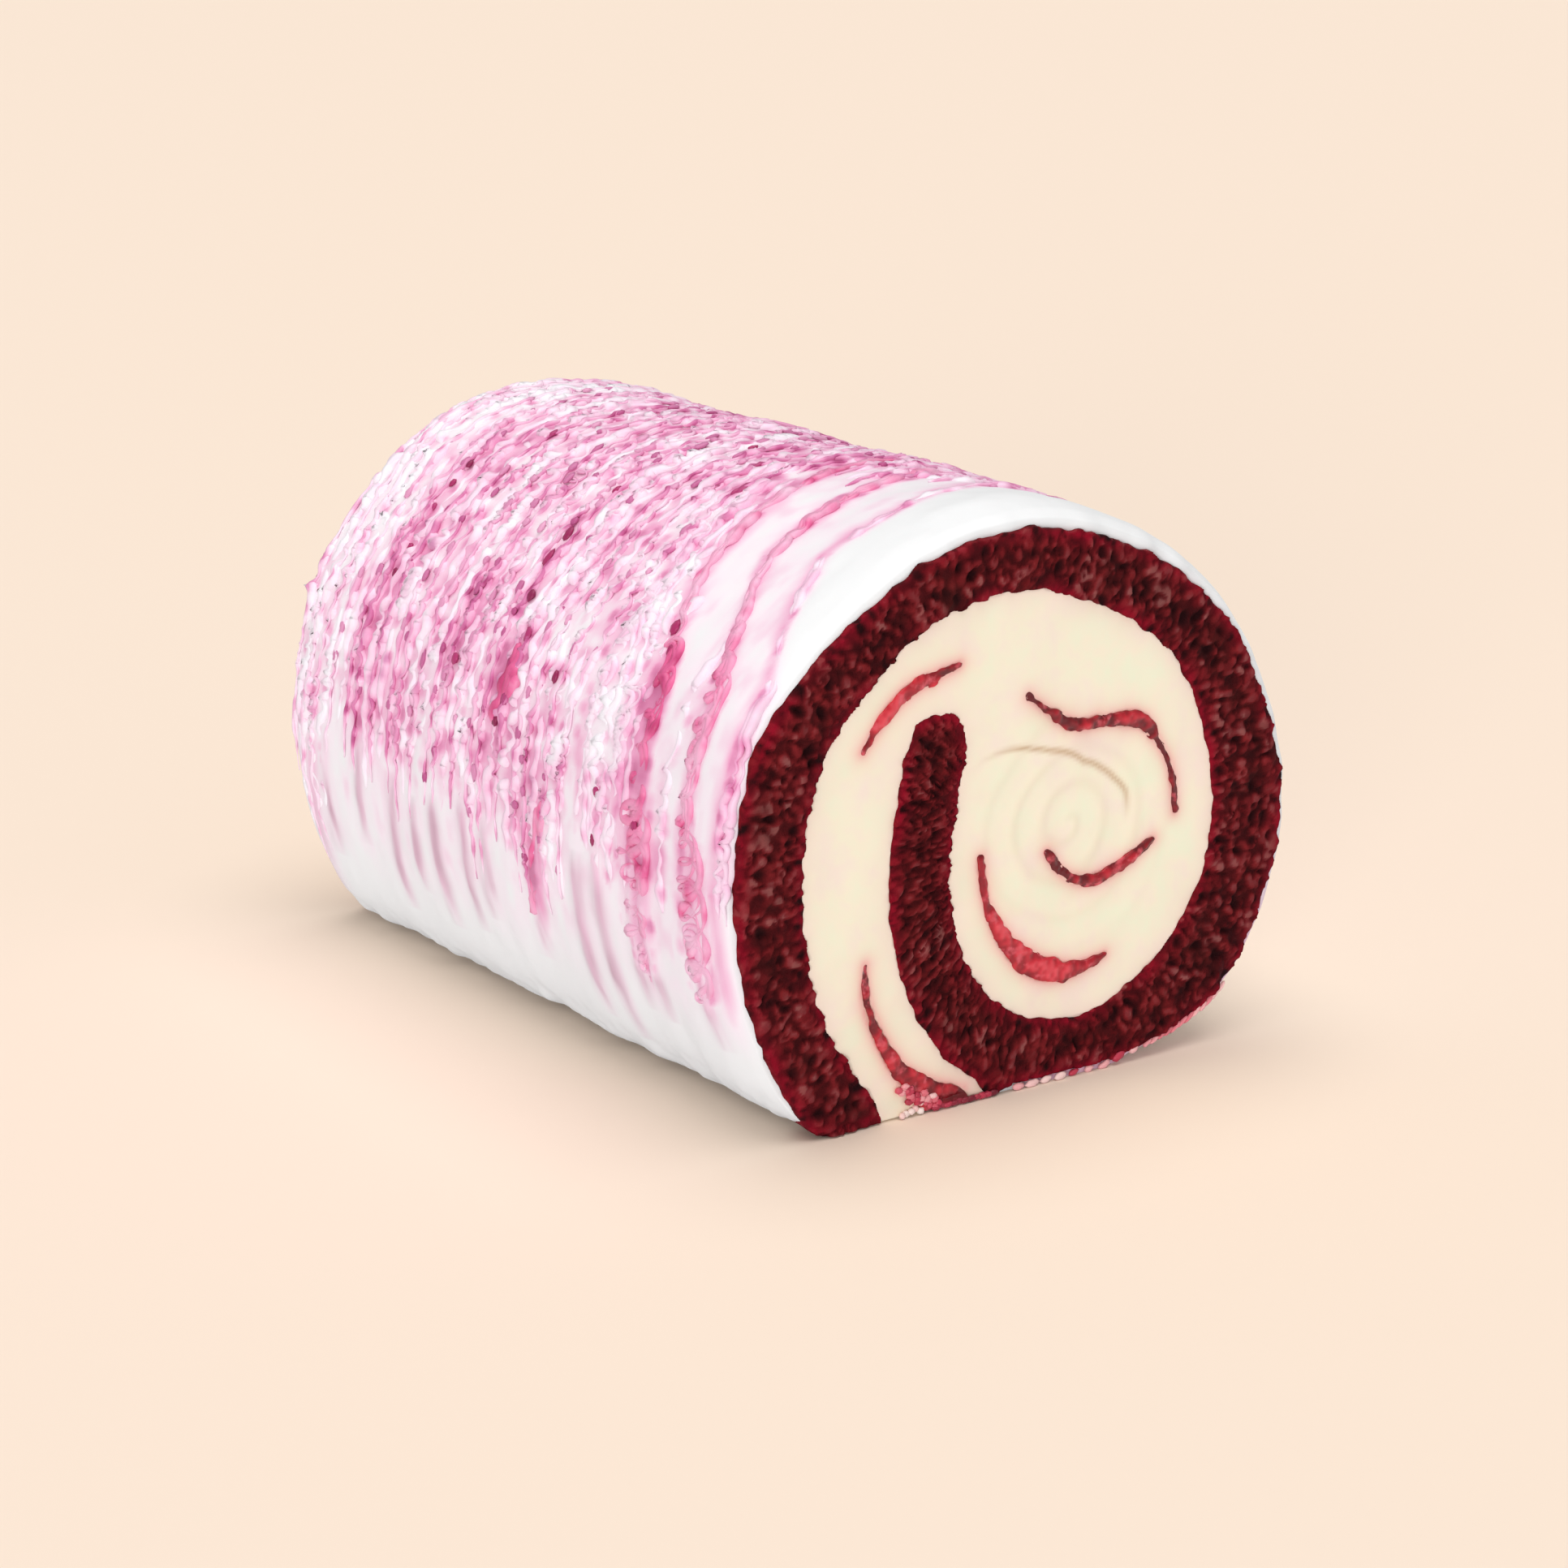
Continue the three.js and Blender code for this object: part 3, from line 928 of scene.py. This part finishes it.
# More of them fill the space between the net and the first strand, and run along beside it.
for number, beside_it in enumerate((2.6, 4.6, 6.6, 8.8, 10.6)):
    chosen = pale_bands if number % 2 else white_bands
    start, end = random.uniform(98, 106), random.uniform(184, 194)
    chosen.append(band(start, end, beside_it, 0.9, 0.9, COURSES["over the shoulder"]))
for start, end, along in ((136, 194, -33.8), (143, 192, -46.0), (120, 186, -25.5)):
    white_bands.append(band(start, end, along, 1.3, 0.85))
# Over each pink band of the net lies a thin, darker thread, which waves less.
curl_bands = [
    (angle, middle, 0.8 * width, 0.58 * thickness)
    for angle, middle, width, thickness in pink_bands
]
print(len(white_bands), "white,", len(pale_bands), "pale and", len(strand_bands), "strand bands")

# %% The runs
# Lower still a little thin icing ran down the coat, as (from, to, along at both, half width).
RUNS = [
    (190, 212, -55.5, -57, 0.7), (188, 212, -42, -43.2, 0.4), (188, 211, -38.5, -38, 0.4),
    (182, 220, -30.5, -31, 0.5), (186, 217, -26, -24.3, 0.5), (180, 211, -18, -10.3, 1.0),
    (188, 208, 0.5, 2.2, 0.6), (186, 212, 7, 7.6, 0.4), (188, 214, 15.5, 16.8, 0.5),
    (188, 215, 28.5, 31.5, 0.4), (190, 209, 22, 23, 0.3), (184, 220, 53, 57.5, 1.3),
    (184, 210, 48.5, 50.5, 0.4), (184, 205, 38, 40, 0.4),
]
run_bands = []
for start, end, first, last, half_width in RUNS:
    run_angle = np.arange(start, end, 1.0)
    share = np.linspace(0, 1, len(run_angle))
    middle = first + (last - first) * share
    width = np.full(len(share), half_width)
    run_bands.append((run_angle, middle, width, 1.3 * taper(share, 0.2, 0.5)))
print(len(run_bands), "runs")

# %% Fold a band's thread into its loops
LOOP = 3.2  # mm round the roll from one loop to the next
THREAD_STEP = 0.62  # mm from one point of a thread to the next
FROM_FACE = 0.8  # mm that a thread keeps from the cut


def rounded(values):
    """Move each value halfway to the mean of its neighbours."""
    return np.convolve(np.pad(values, 1, mode="edge"), (0.25, 0.5, 0.25), "valid")


def fold(angle, middle, width, thickness, seed, coils=False):
    """The thread of one band, as (angles, places along the roll, thicknesses), in even steps."""
    fine = np.arange(angle[0], angle[-1], 0.2)
    middle, width, thickness = (np.interp(fine, angle, v) for v in (middle, width, thickness))
    spot = unrolled(fine, middle)
    loops = spot[:, 0] / (LOOP * (0.85 + 0.05 * (seed % 7)) * (1.35 if coils else 1))
    loops += (0.4 if coils else 1.7) * lumps(spot, (8, 4, 1), 208 + seed)
    phase = 2 * math.pi * loops + 2.1 * seed
    uneven = 1 + 0.6 * lumps(spot, (4.5, 3, 1), 400 + seed)
    sideways = width * uneven * np.sin(phase) + 0.3 * lumps(spot, (3, 1.5, 1), 203)
    back_and_forth = np.minimum(width, 1) * (0.6 + 0.4 * lumps(spot, (7, 5, 1), 500 + seed))
    back_and_forth *= np.cos(phase) * (2.4 if coils else 1)
    slant = 0.3 * width * np.sin(phase)
    round_it = spot[:, 0] + back_and_forth + slant
    path = np.clip(middle + sideways, FROM_FACE - HALF_LENGTH, HALF_LENGTH - FROM_FACE)
    run = np.concatenate([[0], np.cumsum(np.hypot(np.diff(round_it), np.diff(path)))])
    steps = np.arange(0, run[-1], THREAD_STEP)
    round_it, path, thickness = (np.interp(steps, run, v) for v in (round_it, path, thickness))
    for _ in range(2):  # soft icing can't turn a sharp corner
        round_it, path = rounded(round_it), rounded(path)
    turned = round_it / DEGREE
    beads = np.clip(1 + 0.75 * lumps(unrolled(turned, path), (2.0, 2.1, 1), 205), 0.4, 1.45)
    return turned, path, thickness * beads


white_threads = [fold(*plan, seed) for seed, plan in enumerate(white_bands)]
pink_threads = [fold(*plan, seed) for seed, plan in enumerate(pink_bands + pale_bands, 40)]
strand_threads = [
    fold(*plan, seed, coils)
    for seed, (plan, coils) in enumerate(zip(strand_bands, coiled), 80)
]
curl_threads = [fold(*plan, seed) for seed, plan in enumerate(curl_bands, 120)]
all_threads = white_threads + pink_threads + strand_threads + curl_threads
total = sum(len(thread[0]) for thread in all_threads)
print("metres of thread:", round(total * THREAD_STEP / 1000, 1))

# %% How pink it is
PINK = 0.39  # all over
# Here the icing is deeper pink, or paler, as (angle, along, degrees round, mm along, how much).
PATCHES = [
    (167, -39.5, 13, 3, 0.3), (109, -36, 5, 2.5, 0.2), (187, -55, 9, 3, 0.28),
    (143, -47, 5, 2, 0.15), (113, -19, 4, 3, 0.3), (135, -18, 14, 1.5, 0.12),
    (97, -22, 8, 9, 0.22), (193, -13, 9, 2.8, 0.4), (170, -14, 10, 3, 0.12),
    (164, -1.6, 6, 2.4, 0.65), (178, -0.5, 12, 1.8, 0.2), (135, 4, 14, 1.2, 0.12),
    (158, 14, 5, 2.5, 0.25), (177, 36, 9, 5, 0.25), (138, 40, 16, 1, 0.2),
    (190, 54, 16, 4, 0.25), (160, 47, 5, 4, 0.12), (172, -24, 16, 3, -0.12),
    (150, -8, 14, 5, -0.12), (192, 45, 12, 3, -0.4), (140, 50, 22, 6, -0.12),
    (140, 22, 16, 8, -0.08), (150, -46, 10, 2.5, -0.15), (160, -30, 20, 3, -0.12),
    (120, -20, 12, 3, -0.1), (155, -38, 5, 2, 0.25), (172, -52.5, 9, 3, -0.2),
    (160, -61, 26, 1.5, 0.15),
]


def pinkness(angle, along):
    """From 0, white, to 1, deep pink: streaks round the roll, patches, mottling, and dark spots
    that are partly deep pink and partly painted shade in the gaps between the folds.
    """
    spot = unrolled(angle, along)
    streaks = 0.12 * lumps(spot, (26, 2.6, 1), 301) + 0.12 * lumps(spot, (11, 6, 1), 302)
    mottling = 0.2 * lumps(spot, (2.6, 3.0, 1), 303, 2)
    nothing = 0 * angle
    wave = 1.2 * lumps(spot, (30, 14, 1), 306)
    in_rows = spot + np.stack([nothing, wave, 0.5 + nothing], -1)
    from_spot, which = grains(in_rows, (3.9, 3.1, 1), 307, (1, 0.5, 0))
    # The spots are partly deep pink and partly painted shade in the gaps between the folds.
    spots = (0.1 + 0.35 * which) * (1 - smooth_step(from_spot, 0.1, 0.38))
    by_top = -0.02 * (1 - smooth_step(angle, 95, 130)) * (1 - smooth_step(along, 38, 52))
    by_far_end = -0.2 * smooth_step(along, 36, 54)
    by_foot = -0.18 * smooth_step(angle, 180, 200)
    total = PINK + streaks + mottling + spots + by_top + by_far_end + by_foot
    for at_angle, at_along, degrees, spread, more in PATCHES:
        total += more * bell(angle, at_angle, degrees) * bell(along, at_along, spread)
    return total


# %% [markdown]
# ## The icing
#
# The icing is one thick coat of white buttercream. It is smooth and bare beside the front cut
# and low on the sides, and stained where the threads lie. A sheet of small squares is wrapped
# round the measured outside, as rolled icing would be, because its rows and columns then follow
# the roll and its threads.

# %% Lay out the sheet's columns and rows
FINE_CELL = 0.62
UNDER_CELL = 3.0  # on the underside, which is smooth and hidden
outline = wrapped(ANGLES, 0 * ANGLES)[:, [0, 2]]
arc = np.concatenate([[0], np.cumsum(np.linalg.norm(np.diff(outline, axis=0), axis=1))])
right_foot, left_foot = np.interp((FOOT_ANGLES[0] - 4, FOOT_ANGLES[1] + 4), ANGLES, arc)
columns = np.concatenate([
    np.arange(0, right_foot, UNDER_CELL),
    np.arange(right_foot, left_foot, FINE_CELL),
    np.linspace(left_foot, arc[-1], int((arc[-1] - left_foot) / UNDER_CELL)),
])
column_angles = np.interp(columns, arc, ANGLES)
rows = np.linspace(-HALF_LENGTH, HALF_LENGTH, round(2 * HALF_LENGTH / FINE_CELL))

bpy.ops.object.select_all(action="DESELECT")
bpy.ops.mesh.primitive_grid_add(x_subdivisions=len(columns) - 1, y_subdivisions=len(rows) - 1)
icing = bpy.context.object
icing.name = "icing_coat"
share = (places_of(icing) * MM + 1) / 2  # from 0 to 1, as a new grid is 2 m wide
column = np.rint(share[:, 0] * (len(columns) - 1)).astype(int)
row = np.rint(share[:, 1] * (len(rows) - 1)).astype(int)
angle, along = column_angles[column], rows[row]
print("icing sheet:", len(columns), "by", len(rows))


# %% How much of it the bands cover
def covered_by(bands):
    """About 1 where bands lie close together, and 0 where there are none, at each vertex."""
    cover = np.zeros((len(columns), len(rows)))
    for band_angle, *values in bands:
        reached = (column_angles >= band_angle[0]) & (column_angles <= band_angle[-1])
        middle, width, thickness = (
            np.interp(column_angles[reached], band_angle, v)[:, None] for v in values
        )
        beside = bell(rows[None, :], middle, 0.7 + width)
        cover[reached] += np.clip(thickness, 0, 1) * beside
    return np.clip(0.75 * cover, 0, 1)[column, row]


cover = covered_by(white_bands + pink_bands + pale_bands + strand_bands)
runs = covered_by(run_bands)
print("share of the coat under threads:", round(float(cover.mean()), 2))

# %% Shape it
right_foot_angle, left_foot_angle = FOOT_ANGLES
spot = unrolled(angle, along)
body = 0.3 * lumps(spot, (24, 13, 1), 105) + 0.14 * lumps(spot, (9, 5, 1), 106)
dabs = 0.16 * lumps(spot, (3.4, 2.8, 1), 104) + 0.08 * lumps(spot, (1.8, 1.6, 1), 107)
above_table = smooth_step(angle, right_foot_angle - 2, right_foot_angle + 10)
above_table *= 1 - smooth_step(angle, left_foot_angle - 10, left_foot_angle + 2)
from_face = HALF_LENGTH - np.abs(along)
height = (body + (0.35 + 0.65 * cover) * dabs) * above_table * smooth_step(from_face, 0, 3)
height += 0.45 * runs * (1 + 0.5 * lumps(spot, (3, 2.2, 1), 112))
LOWER_EDGE = 223  # degrees, where the coat is uneven above the table
foot = np.exp(-(((angle - LOWER_EDGE) / 4) ** 2)) * smooth_step(from_face, 2, 5)
height += foot * (0.3 * lumps(spot, (3.5, 4, 1), 113) + 0.25 * lumps(spot, (1.8, 1.7, 1), 115))
places = wrapped(angle, along, height)

# The rim lies a little behind the cut, and further where the roll's last fold meets the table.
last_fold = smooth_step(angle, 222, 232) * (1 - smooth_step(angle, 255, 265))
first_fold = 1 - smooth_step(angle, -60, -38)
recess = 0.75 + 0.35 * lumps(spot, (4, 200, 1), 108) * above_table + 2.2 * last_fold
recess -= 0.25 * first_fold * (1 - smooth_step(-angle, 75, 88))
places[:, 1] -= np.sign(along) * recess * (1 - smooth_step(from_face, 0, 12))
move_to(icing, places)
print("coat's relief, mm:", round(height.min(), 2), "to", round(height.max(), 2))

# %% Stain it
pink = pinkness(angle, along)
# A veil of pink covers the coat behind the rim. It is deepest beside the strands.
strands = ("over the shoulder", "down the middle", "along the rim")
courses = np.array([follow(COURSES[name], angle) for name in strands])
beside = np.min(np.abs(along - courses), axis=0)
veil = smooth_step(along - courses[2], -3, 1)
veil *= smooth_step(angle, 50, 90) * (1 - smooth_step(angle, 196, 214))
veil *= 0.18 + 0.12 * lumps(spot, (4, 2.3, 1), 114, 2) + 0.4 * np.exp(-((beside / 1.9) ** 2))
# The runs are dull, except by the drip, where they are strong.
strong = bell(angle, 196, 9) * bell(along, -12.5, 3)
smears = runs * (0.5 + 0.2 * lumps(spot, (7, 1.3, 1), 116) + 0.5 * strong)
dull = runs * (0.8 + 0.5 * lumps(spot, (5, 1.3, 1), 117) - 0.8 * strong)
by_cut = 0.45 * (1 - smooth_step(angle, -35, -5)) * np.exp(-from_face / 1.5)
stained = np.max([cover * (0.05 + 1.05 * pink), smears, by_cut, veil], axis=0)
note(icing, "pink", np.clip(stained, 0, 1))
note(icing, "run", np.clip(dull, 0, 1) * (1 - cover))

# %% Close it: join the seam under the roll, turn the rims in and bridge them
TURNED_IN = (0.94, 0.99, 0.94)  # inwards past the sponge's edge, and a little further back
only(icing)
bpy.ops.object.mode_set(mode="EDIT")
bpy.ops.mesh.select_all(action="SELECT")
bpy.ops.mesh.remove_doubles(threshold=0.01 * MM)
bpy.ops.mesh.select_all(action="DESELECT")
bpy.ops.mesh.select_non_manifold(use_wire=False, use_multi_face=False, use_verts=False)
bpy.ops.mesh.extrude_edges_move()
bpy.ops.transform.resize(value=TURNED_IN, center_override=(0, 0, MIDDLE_HEIGHT * MM))
bpy.ops.mesh.bridge_edge_loops()
bpy.ops.mesh.select_all(action="SELECT")
bpy.ops.mesh.normals_make_consistent(inside=False)
bpy.ops.object.mode_set(mode="OBJECT")
print("icing:", len(icing.data.polygons), "faces")

# %% Buttercream: soft and white, and stained pink under the threads
COAT_STOPS = [(0, "f2f2f2"), (0.2, "f8eaf1"), (0.45, "f5c9de"), (0.7, "ec9fc4"), (1, "d0749f")]
DULL_RUN = "c9a1b2"


def buttercream():
    material, tree = new_material("white_buttercream")
    pink, run = (
        add(tree, "ShaderNodeAttribute", {"attribute_name": name}).outputs["Fac"]
        for name in ("pink", "run")
    )
    tone = add(tree, "ShaderNodeValToRGB", {"stops": COAT_STOPS}, {"Fac": pink})
    dulled = add(
        tree,
        "ShaderNodeMix",
        {"data_type": "RGBA", SECOND: linear(DULL_RUN)},
        {AMOUNT: run, FIRST: tone.outputs["Color"]},
    )
    shader = add(
        tree,
        "ShaderNodeBsdfPrincipled",
        {
            "Roughness": 0.5,
            "Specular IOR Level": 0.35,
            "Subsurface Weight": 0.1,
            "Subsurface Radius": (1.0, 0.9, 0.9),
            "Subsurface Scale": 1.0 * MM,
        },
        {"Base Color": dulled.outputs[MIXED]},
    )
    add(tree, "ShaderNodeOutputMaterial", links={"Surface": shader.outputs["BSDF"]})
    return material


finish_piece(icing, buttercream(), "icing", "icing")

# %% [markdown]
# ## The threads
#
# Each folded thread becomes a curve with a round bevel. Threads of one kind are one curve object,
# turned to a mesh, because they share a finish. Every vertex then remembers how pink it is, so
# that the colour can run from thread to thread in streaks, as it does where wet icings touch.


# %% Trail the threads
def make_threads(name, material, threads, height, course_tone=None):
    """Threads as one mesh, with their middle line this high over the icing, in mm. course_tone,
    if any, says how pink they are on their way down, as (angle, pinkness)."""
    curve = bpy.data.curves.new(name, "CURVE")
    curve.dimensions = "3D"
    curve.bevel_depth = 1.0
    curve.bevel_resolution = 1
    curve.use_fill_caps = True
    for angle, along, thickness in threads:
        spot = unrolled(angle, along)
        lift = height + 0.3 * lumps(spot, (24, 13, 1), 105) + 0.2 * lumps(spot, (2.6, 2.6, 1), 210)
        points = wrapped(angle, along, lift) * MM
        spline = curve.splines.new("POLY")
        spline.points.add(len(points) - 1)
        spline.points.foreach_set("co", np.column_stack([points, np.ones(len(points))]).ravel())
        spline.points.foreach_set("radius", THREAD_RADIUS * thickness * MM)
    piece = bpy.data.objects.new(name, curve)
    bpy.context.scene.collection.objects.link(piece)
    only(piece)
    bpy.ops.object.convert(target="MESH")
    piece = bpy.context.object
    piece.data.materials.clear()
    join_up(piece)  # also joins each thread's end caps to it
    places = places_of(piece)
    tones = pinkness(around(places), places[:, 1])
    if course_tone:
        tones = follow(course_tone, around(places)) + 0.55 * (tones - 0.4)
    note(piece, "pink", np.clip(tones, 0, 1))
    finish_piece(piece, material)


# %% Sugar icing: a little wetter than the coat, and coloured right through
def sugar_icing(name, stops):
    material, tree = new_material(name)
    pink = add(tree, "ShaderNodeAttribute", {"attribute_name": "pink"})
    tone = add(tree, "ShaderNodeValToRGB", {"stops": stops}, {"Fac": pink.outputs["Fac"]})
    shader = add(
        tree,
        "ShaderNodeBsdfPrincipled",
        {
            "Roughness": 0.42,
            "Specular IOR Level": 0.4,
            "Subsurface Weight": 0.1,
            "Subsurface Radius": (1.0, 0.8, 0.9),
            "Subsurface Scale": 0.6 * MM,
        },
        {"Base Color": tone.outputs["Color"]},
    )
    add(tree, "ShaderNodeOutputMaterial", links={"Surface": shader.outputs["BSDF"]})
    return material


# %% The four kinds of thread
WHITE_STOPS = [(0.1, "fbf4fa"), (0.4, "fbe2f0"), (0.7, "f5c0db"), (1, "d88cb6")]
PINK_STOPS = [(0.1, "fdf0f7"), (0.35, "fbdaec"), (0.6, "f6b8d7"), (0.8, "e890bc"), (1, "ca6698")]
CURL_STOPS = [(0.15, "fbdeed"), (0.35, "f2b8d5"), (0.6, "e18ab6"), (0.8, "cc649a"), (1, "ac3c74")]
STRAND_STOPS = [(0.1, "fbe4ef"), (0.35, "f7c2db"), (0.6, "f09abe"), (0.8, "e8689c"), (1, "c43e74")]
STRAND_TONE = [
    (90, 0.5), (138, 0.5), (150, 0.64), (158, 0.64), (174, 0.58), (188, 0.56), (205, 0.46)
]
make_threads("white_threads", sugar_icing("white_sugar_icing", WHITE_STOPS), white_threads, -0.3)
make_threads("pink_threads", sugar_icing("pink_sugar_icing", PINK_STOPS), pink_threads, -0.3)
strand_icing = sugar_icing("deep_pink_sugar_icing", STRAND_STOPS)
make_threads("pink_strands", strand_icing, strand_threads, 0.0, STRAND_TONE)
make_threads("dark_curls", sugar_icing("dark_pink_sugar_icing", CURL_STOPS), curl_threads, 0.2)

# %% [markdown]
# ## The drops
#
# Where the pink icing ran thick it set in small dark drops, strung along the threads. Their dark
# tones also paint the shade in the pits between the threads. One low ball is made and copied to
# every drop, drawn out along the thread and half sunk in it.


# %% Copy a ball to many places
def scatter(name, material, balls):
    """Balls as one piece. Each is (middle in mm, three half axes in mm as rows, tone)."""
    bpy.ops.object.select_all(action="DESELECT")
    bpy.ops.mesh.primitive_uv_sphere_add(segments=8, ring_count=6, radius=MM)
    piece = bpy.context.object
    piece.name = name
    ball = places_of(piece)
    faces = [list(polygon.vertices) for polygon in piece.data.polygons]
    corners, all_faces, tones = [], [], []
    for middle, axes, tone in balls:
        dented = ball * (1 + 0.1 * random.standard_normal((len(ball), 1)))
        all_faces += [[v + len(corners) for v in face] for face in faces]
        corners += list(middle + dented @ axes)
        tones += [tone] * len(ball)
    places = np.array(corners)
    places[:, 2] = np.maximum(places[:, 2], 0.05)  # none goes through the table
    piece.data.clear_geometry()
    piece.data.from_pydata(places * MM, [], all_faces)
    note(piece, "pink", tones)
    join_up(piece)
    finish_piece(piece, material)


def directions(degrees):
    """The way that this angle points, and the way a quarter turn on from it."""
    x, z = math.cos(math.radians(degrees)), math.sin(math.radians(degrees))
    return np.array([x, 0, z]), np.array([-z, 0, x])


# %% Choose the drops' places
# The largest are listed one by one, as (angle, along, length in mm, width in mm).
DROPS = [
    (113, -20, 3.4, 1.5), (145, -33.8, 2.4, 1.6), (149, -36, 1.8, 1.3), (135, 4, 2.6, 1.4),
    (141, 4, 3.2, 1.6), (148.5, 2, 2.0, 1.6), (161, -1, 2.2, 1.6), (164, -1.5, 3.0, 2.2),
    (167, -2, 2.2, 1.6), (148, 39, 1.6, 1.3), (153.5, 39, 1.8, 1.3), (175, -30, 1.8, 1.3),
    (163.6, 13.4, 2.0, 1.6), (160, -14, 2.0, 1.2), (178, -40, 2.0, 1.6), (171, -0.5, 2.0, 1.4),
    (183, -30, 2.0, 1.1), (98, -5, 1.8, 1.1), (123, 3, 1.8, 1.2), (128, 40, 1.6, 1.1),
    (133, 40, 1.6, 1.1), (139, 40, 1.6, 1.1),
]
LAST_DROP = 52  # mm along: the far end has none
drops = list(DROPS)
for angle, middle, _, _ in pink_bands:
    at = angle[0] + 4
    while at < angle[-1] - 20:
        at += random.uniform(4, 18)
        along = np.interp(at, angle, middle) + random.normal(0, 0.4)
        if along < LAST_DROP:
            drops.append((at, along, random.uniform(1.2, 2.9), random.uniform(0.8, 1.5)))
print(len(DROPS), "drops by hand, and", len(drops) - len(DROPS), "along the threads")

# %% Make them
DROP_LIFT = 0.3  # mm of a drop's middle over the icing
# The dark end of the drops' tones is painted shade for the pits between the threads, as well as
# deep pink.
DROP_STOPS = [(0, "e6a6c6"), (0.35, "cf7aa6"), (0.6, "b95288"), (0.8, "ae2a66"), (1, "861a4c")]
drop_angles, drop_alongs = np.array(drops)[:, :2].T
middles = wrapped(drop_angles, drop_alongs, DROP_LIFT)
pinks = pinkness(drop_angles, drop_alongs)
balls = []
for number, (angle, _, length, width) in enumerate(drops):
    outward, round_it = directions(angle)
    axes = np.stack([round_it * length / 2, np.array([0, width / 2, 0]), outward * 0.36])
    tone = np.clip(0.55 * random.random() + 0.6 * (pinks[number] - 0.35), 0, 0.75)
    if number < len(DROPS):
        tone = random.uniform(0.7, 1)
    balls.append((middles[number], axes, tone))
scatter("dark_drops", sugar_icing("deep_pink_and_pit_shade_icing", DROP_STOPS), balls)

# %% [markdown]
# ## Lumps at the foot of the cut
#
# Rolling pressed some jam and cream out at the foot of each cut, where they set in small lumps:
# a heap at the end of the last jam streak, a thin dark line from there under the cream, and a
# broken pale bead along the icing's lower edge. They are the same dented ball again.

# %% Place the lumps
HEAP_TONES = [0.32, 0.45, 0.62, 0.7, 0.78, 0.85]
BEAD_END, LINE_END = -58, -40  # degrees, where the bead thins out to a line, and where that ends
balls = []


def put(side, x, height, length, thick, tone, slope=0.0):
    """One lump on this side's cut face, drawn out along a slope in degrees."""
    along_it, across_it = directions(slope)
    along = side * (HALF_LENGTH + random.uniform(-0.2, 0.1))
    middle = np.array([x, along, max(height, 0.8 * thick)])
    axes = np.stack([along_it * length, np.array([0, 0.45, 0]), across_it * thick])
    balls.append((middle, axes, tone))


def edge_of_icing(angle, side, height):
    """A place at the icing's edge, as (x, height)."""
    return wrapped(np.array(float(angle)), np.array(side * HALF_LENGTH), height)[[0, 2]]


for side in (-1, 1):
    for share in np.linspace(0, 1, 30):  # the heap, from its top down to the right
        x = -20.8 + 6.6 * share + random.normal(0, 0.5)
        height = 4.4 - 3.6 * share + random.normal(0, 0.45)
        length, thick = random.uniform(0.45, 0.8), random.uniform(0.4, 0.65)
        put(side, x, height, length, thick, random.choice(HEAP_TONES))
    for x in np.arange(-20.4, -17, 0.8):  # a little cream at its foot
        height, length = random.uniform(0.5, 1.1), random.uniform(0.5, 0.7)
        put(side, x, height, length, 0.5, random.uniform(0.1, 0.35))
    for x in np.arange(-14.5, -3.5, 1.0):  # the dark line
        length, thick = random.uniform(0.7, 1.1), random.uniform(0.35, 0.5)
        put(side, x, 0.55, length, thick, random.uniform(0.8, 1.0), 4)
    for angle in np.arange(-90, BEAD_END, 3.6):  # the bead
        x, height = edge_of_icing(angle, side, -0.5)
        tone = 0.8 if random.random() < 0.15 else random.uniform(0.26, 0.42)
        length, thick = random.uniform(0.8, 1.3), random.uniform(0.45, 0.6)
        put(side, x, height, length, thick, tone, angle + 90)
    for angle in np.arange(BEAD_END, LINE_END, 1.6):  # the line
        x, height = edge_of_icing(angle, side, -0.4)
        length, thick = random.uniform(0.9, 1.3), random.uniform(0.24, 0.34)
        put(side, x, height, length, thick, random.uniform(0.35, 0.6), angle + 90)
LUMP_STOPS = [(0, "fdf3e8"), (0.25, "fbd8d0"), (0.5, "ee8c94"), (0.75, "cf3c54"), (1, "6e1024")]
scatter("jam_and_cream_lumps", sugar_icing("jam_stained_cream", LUMP_STOPS), balls)
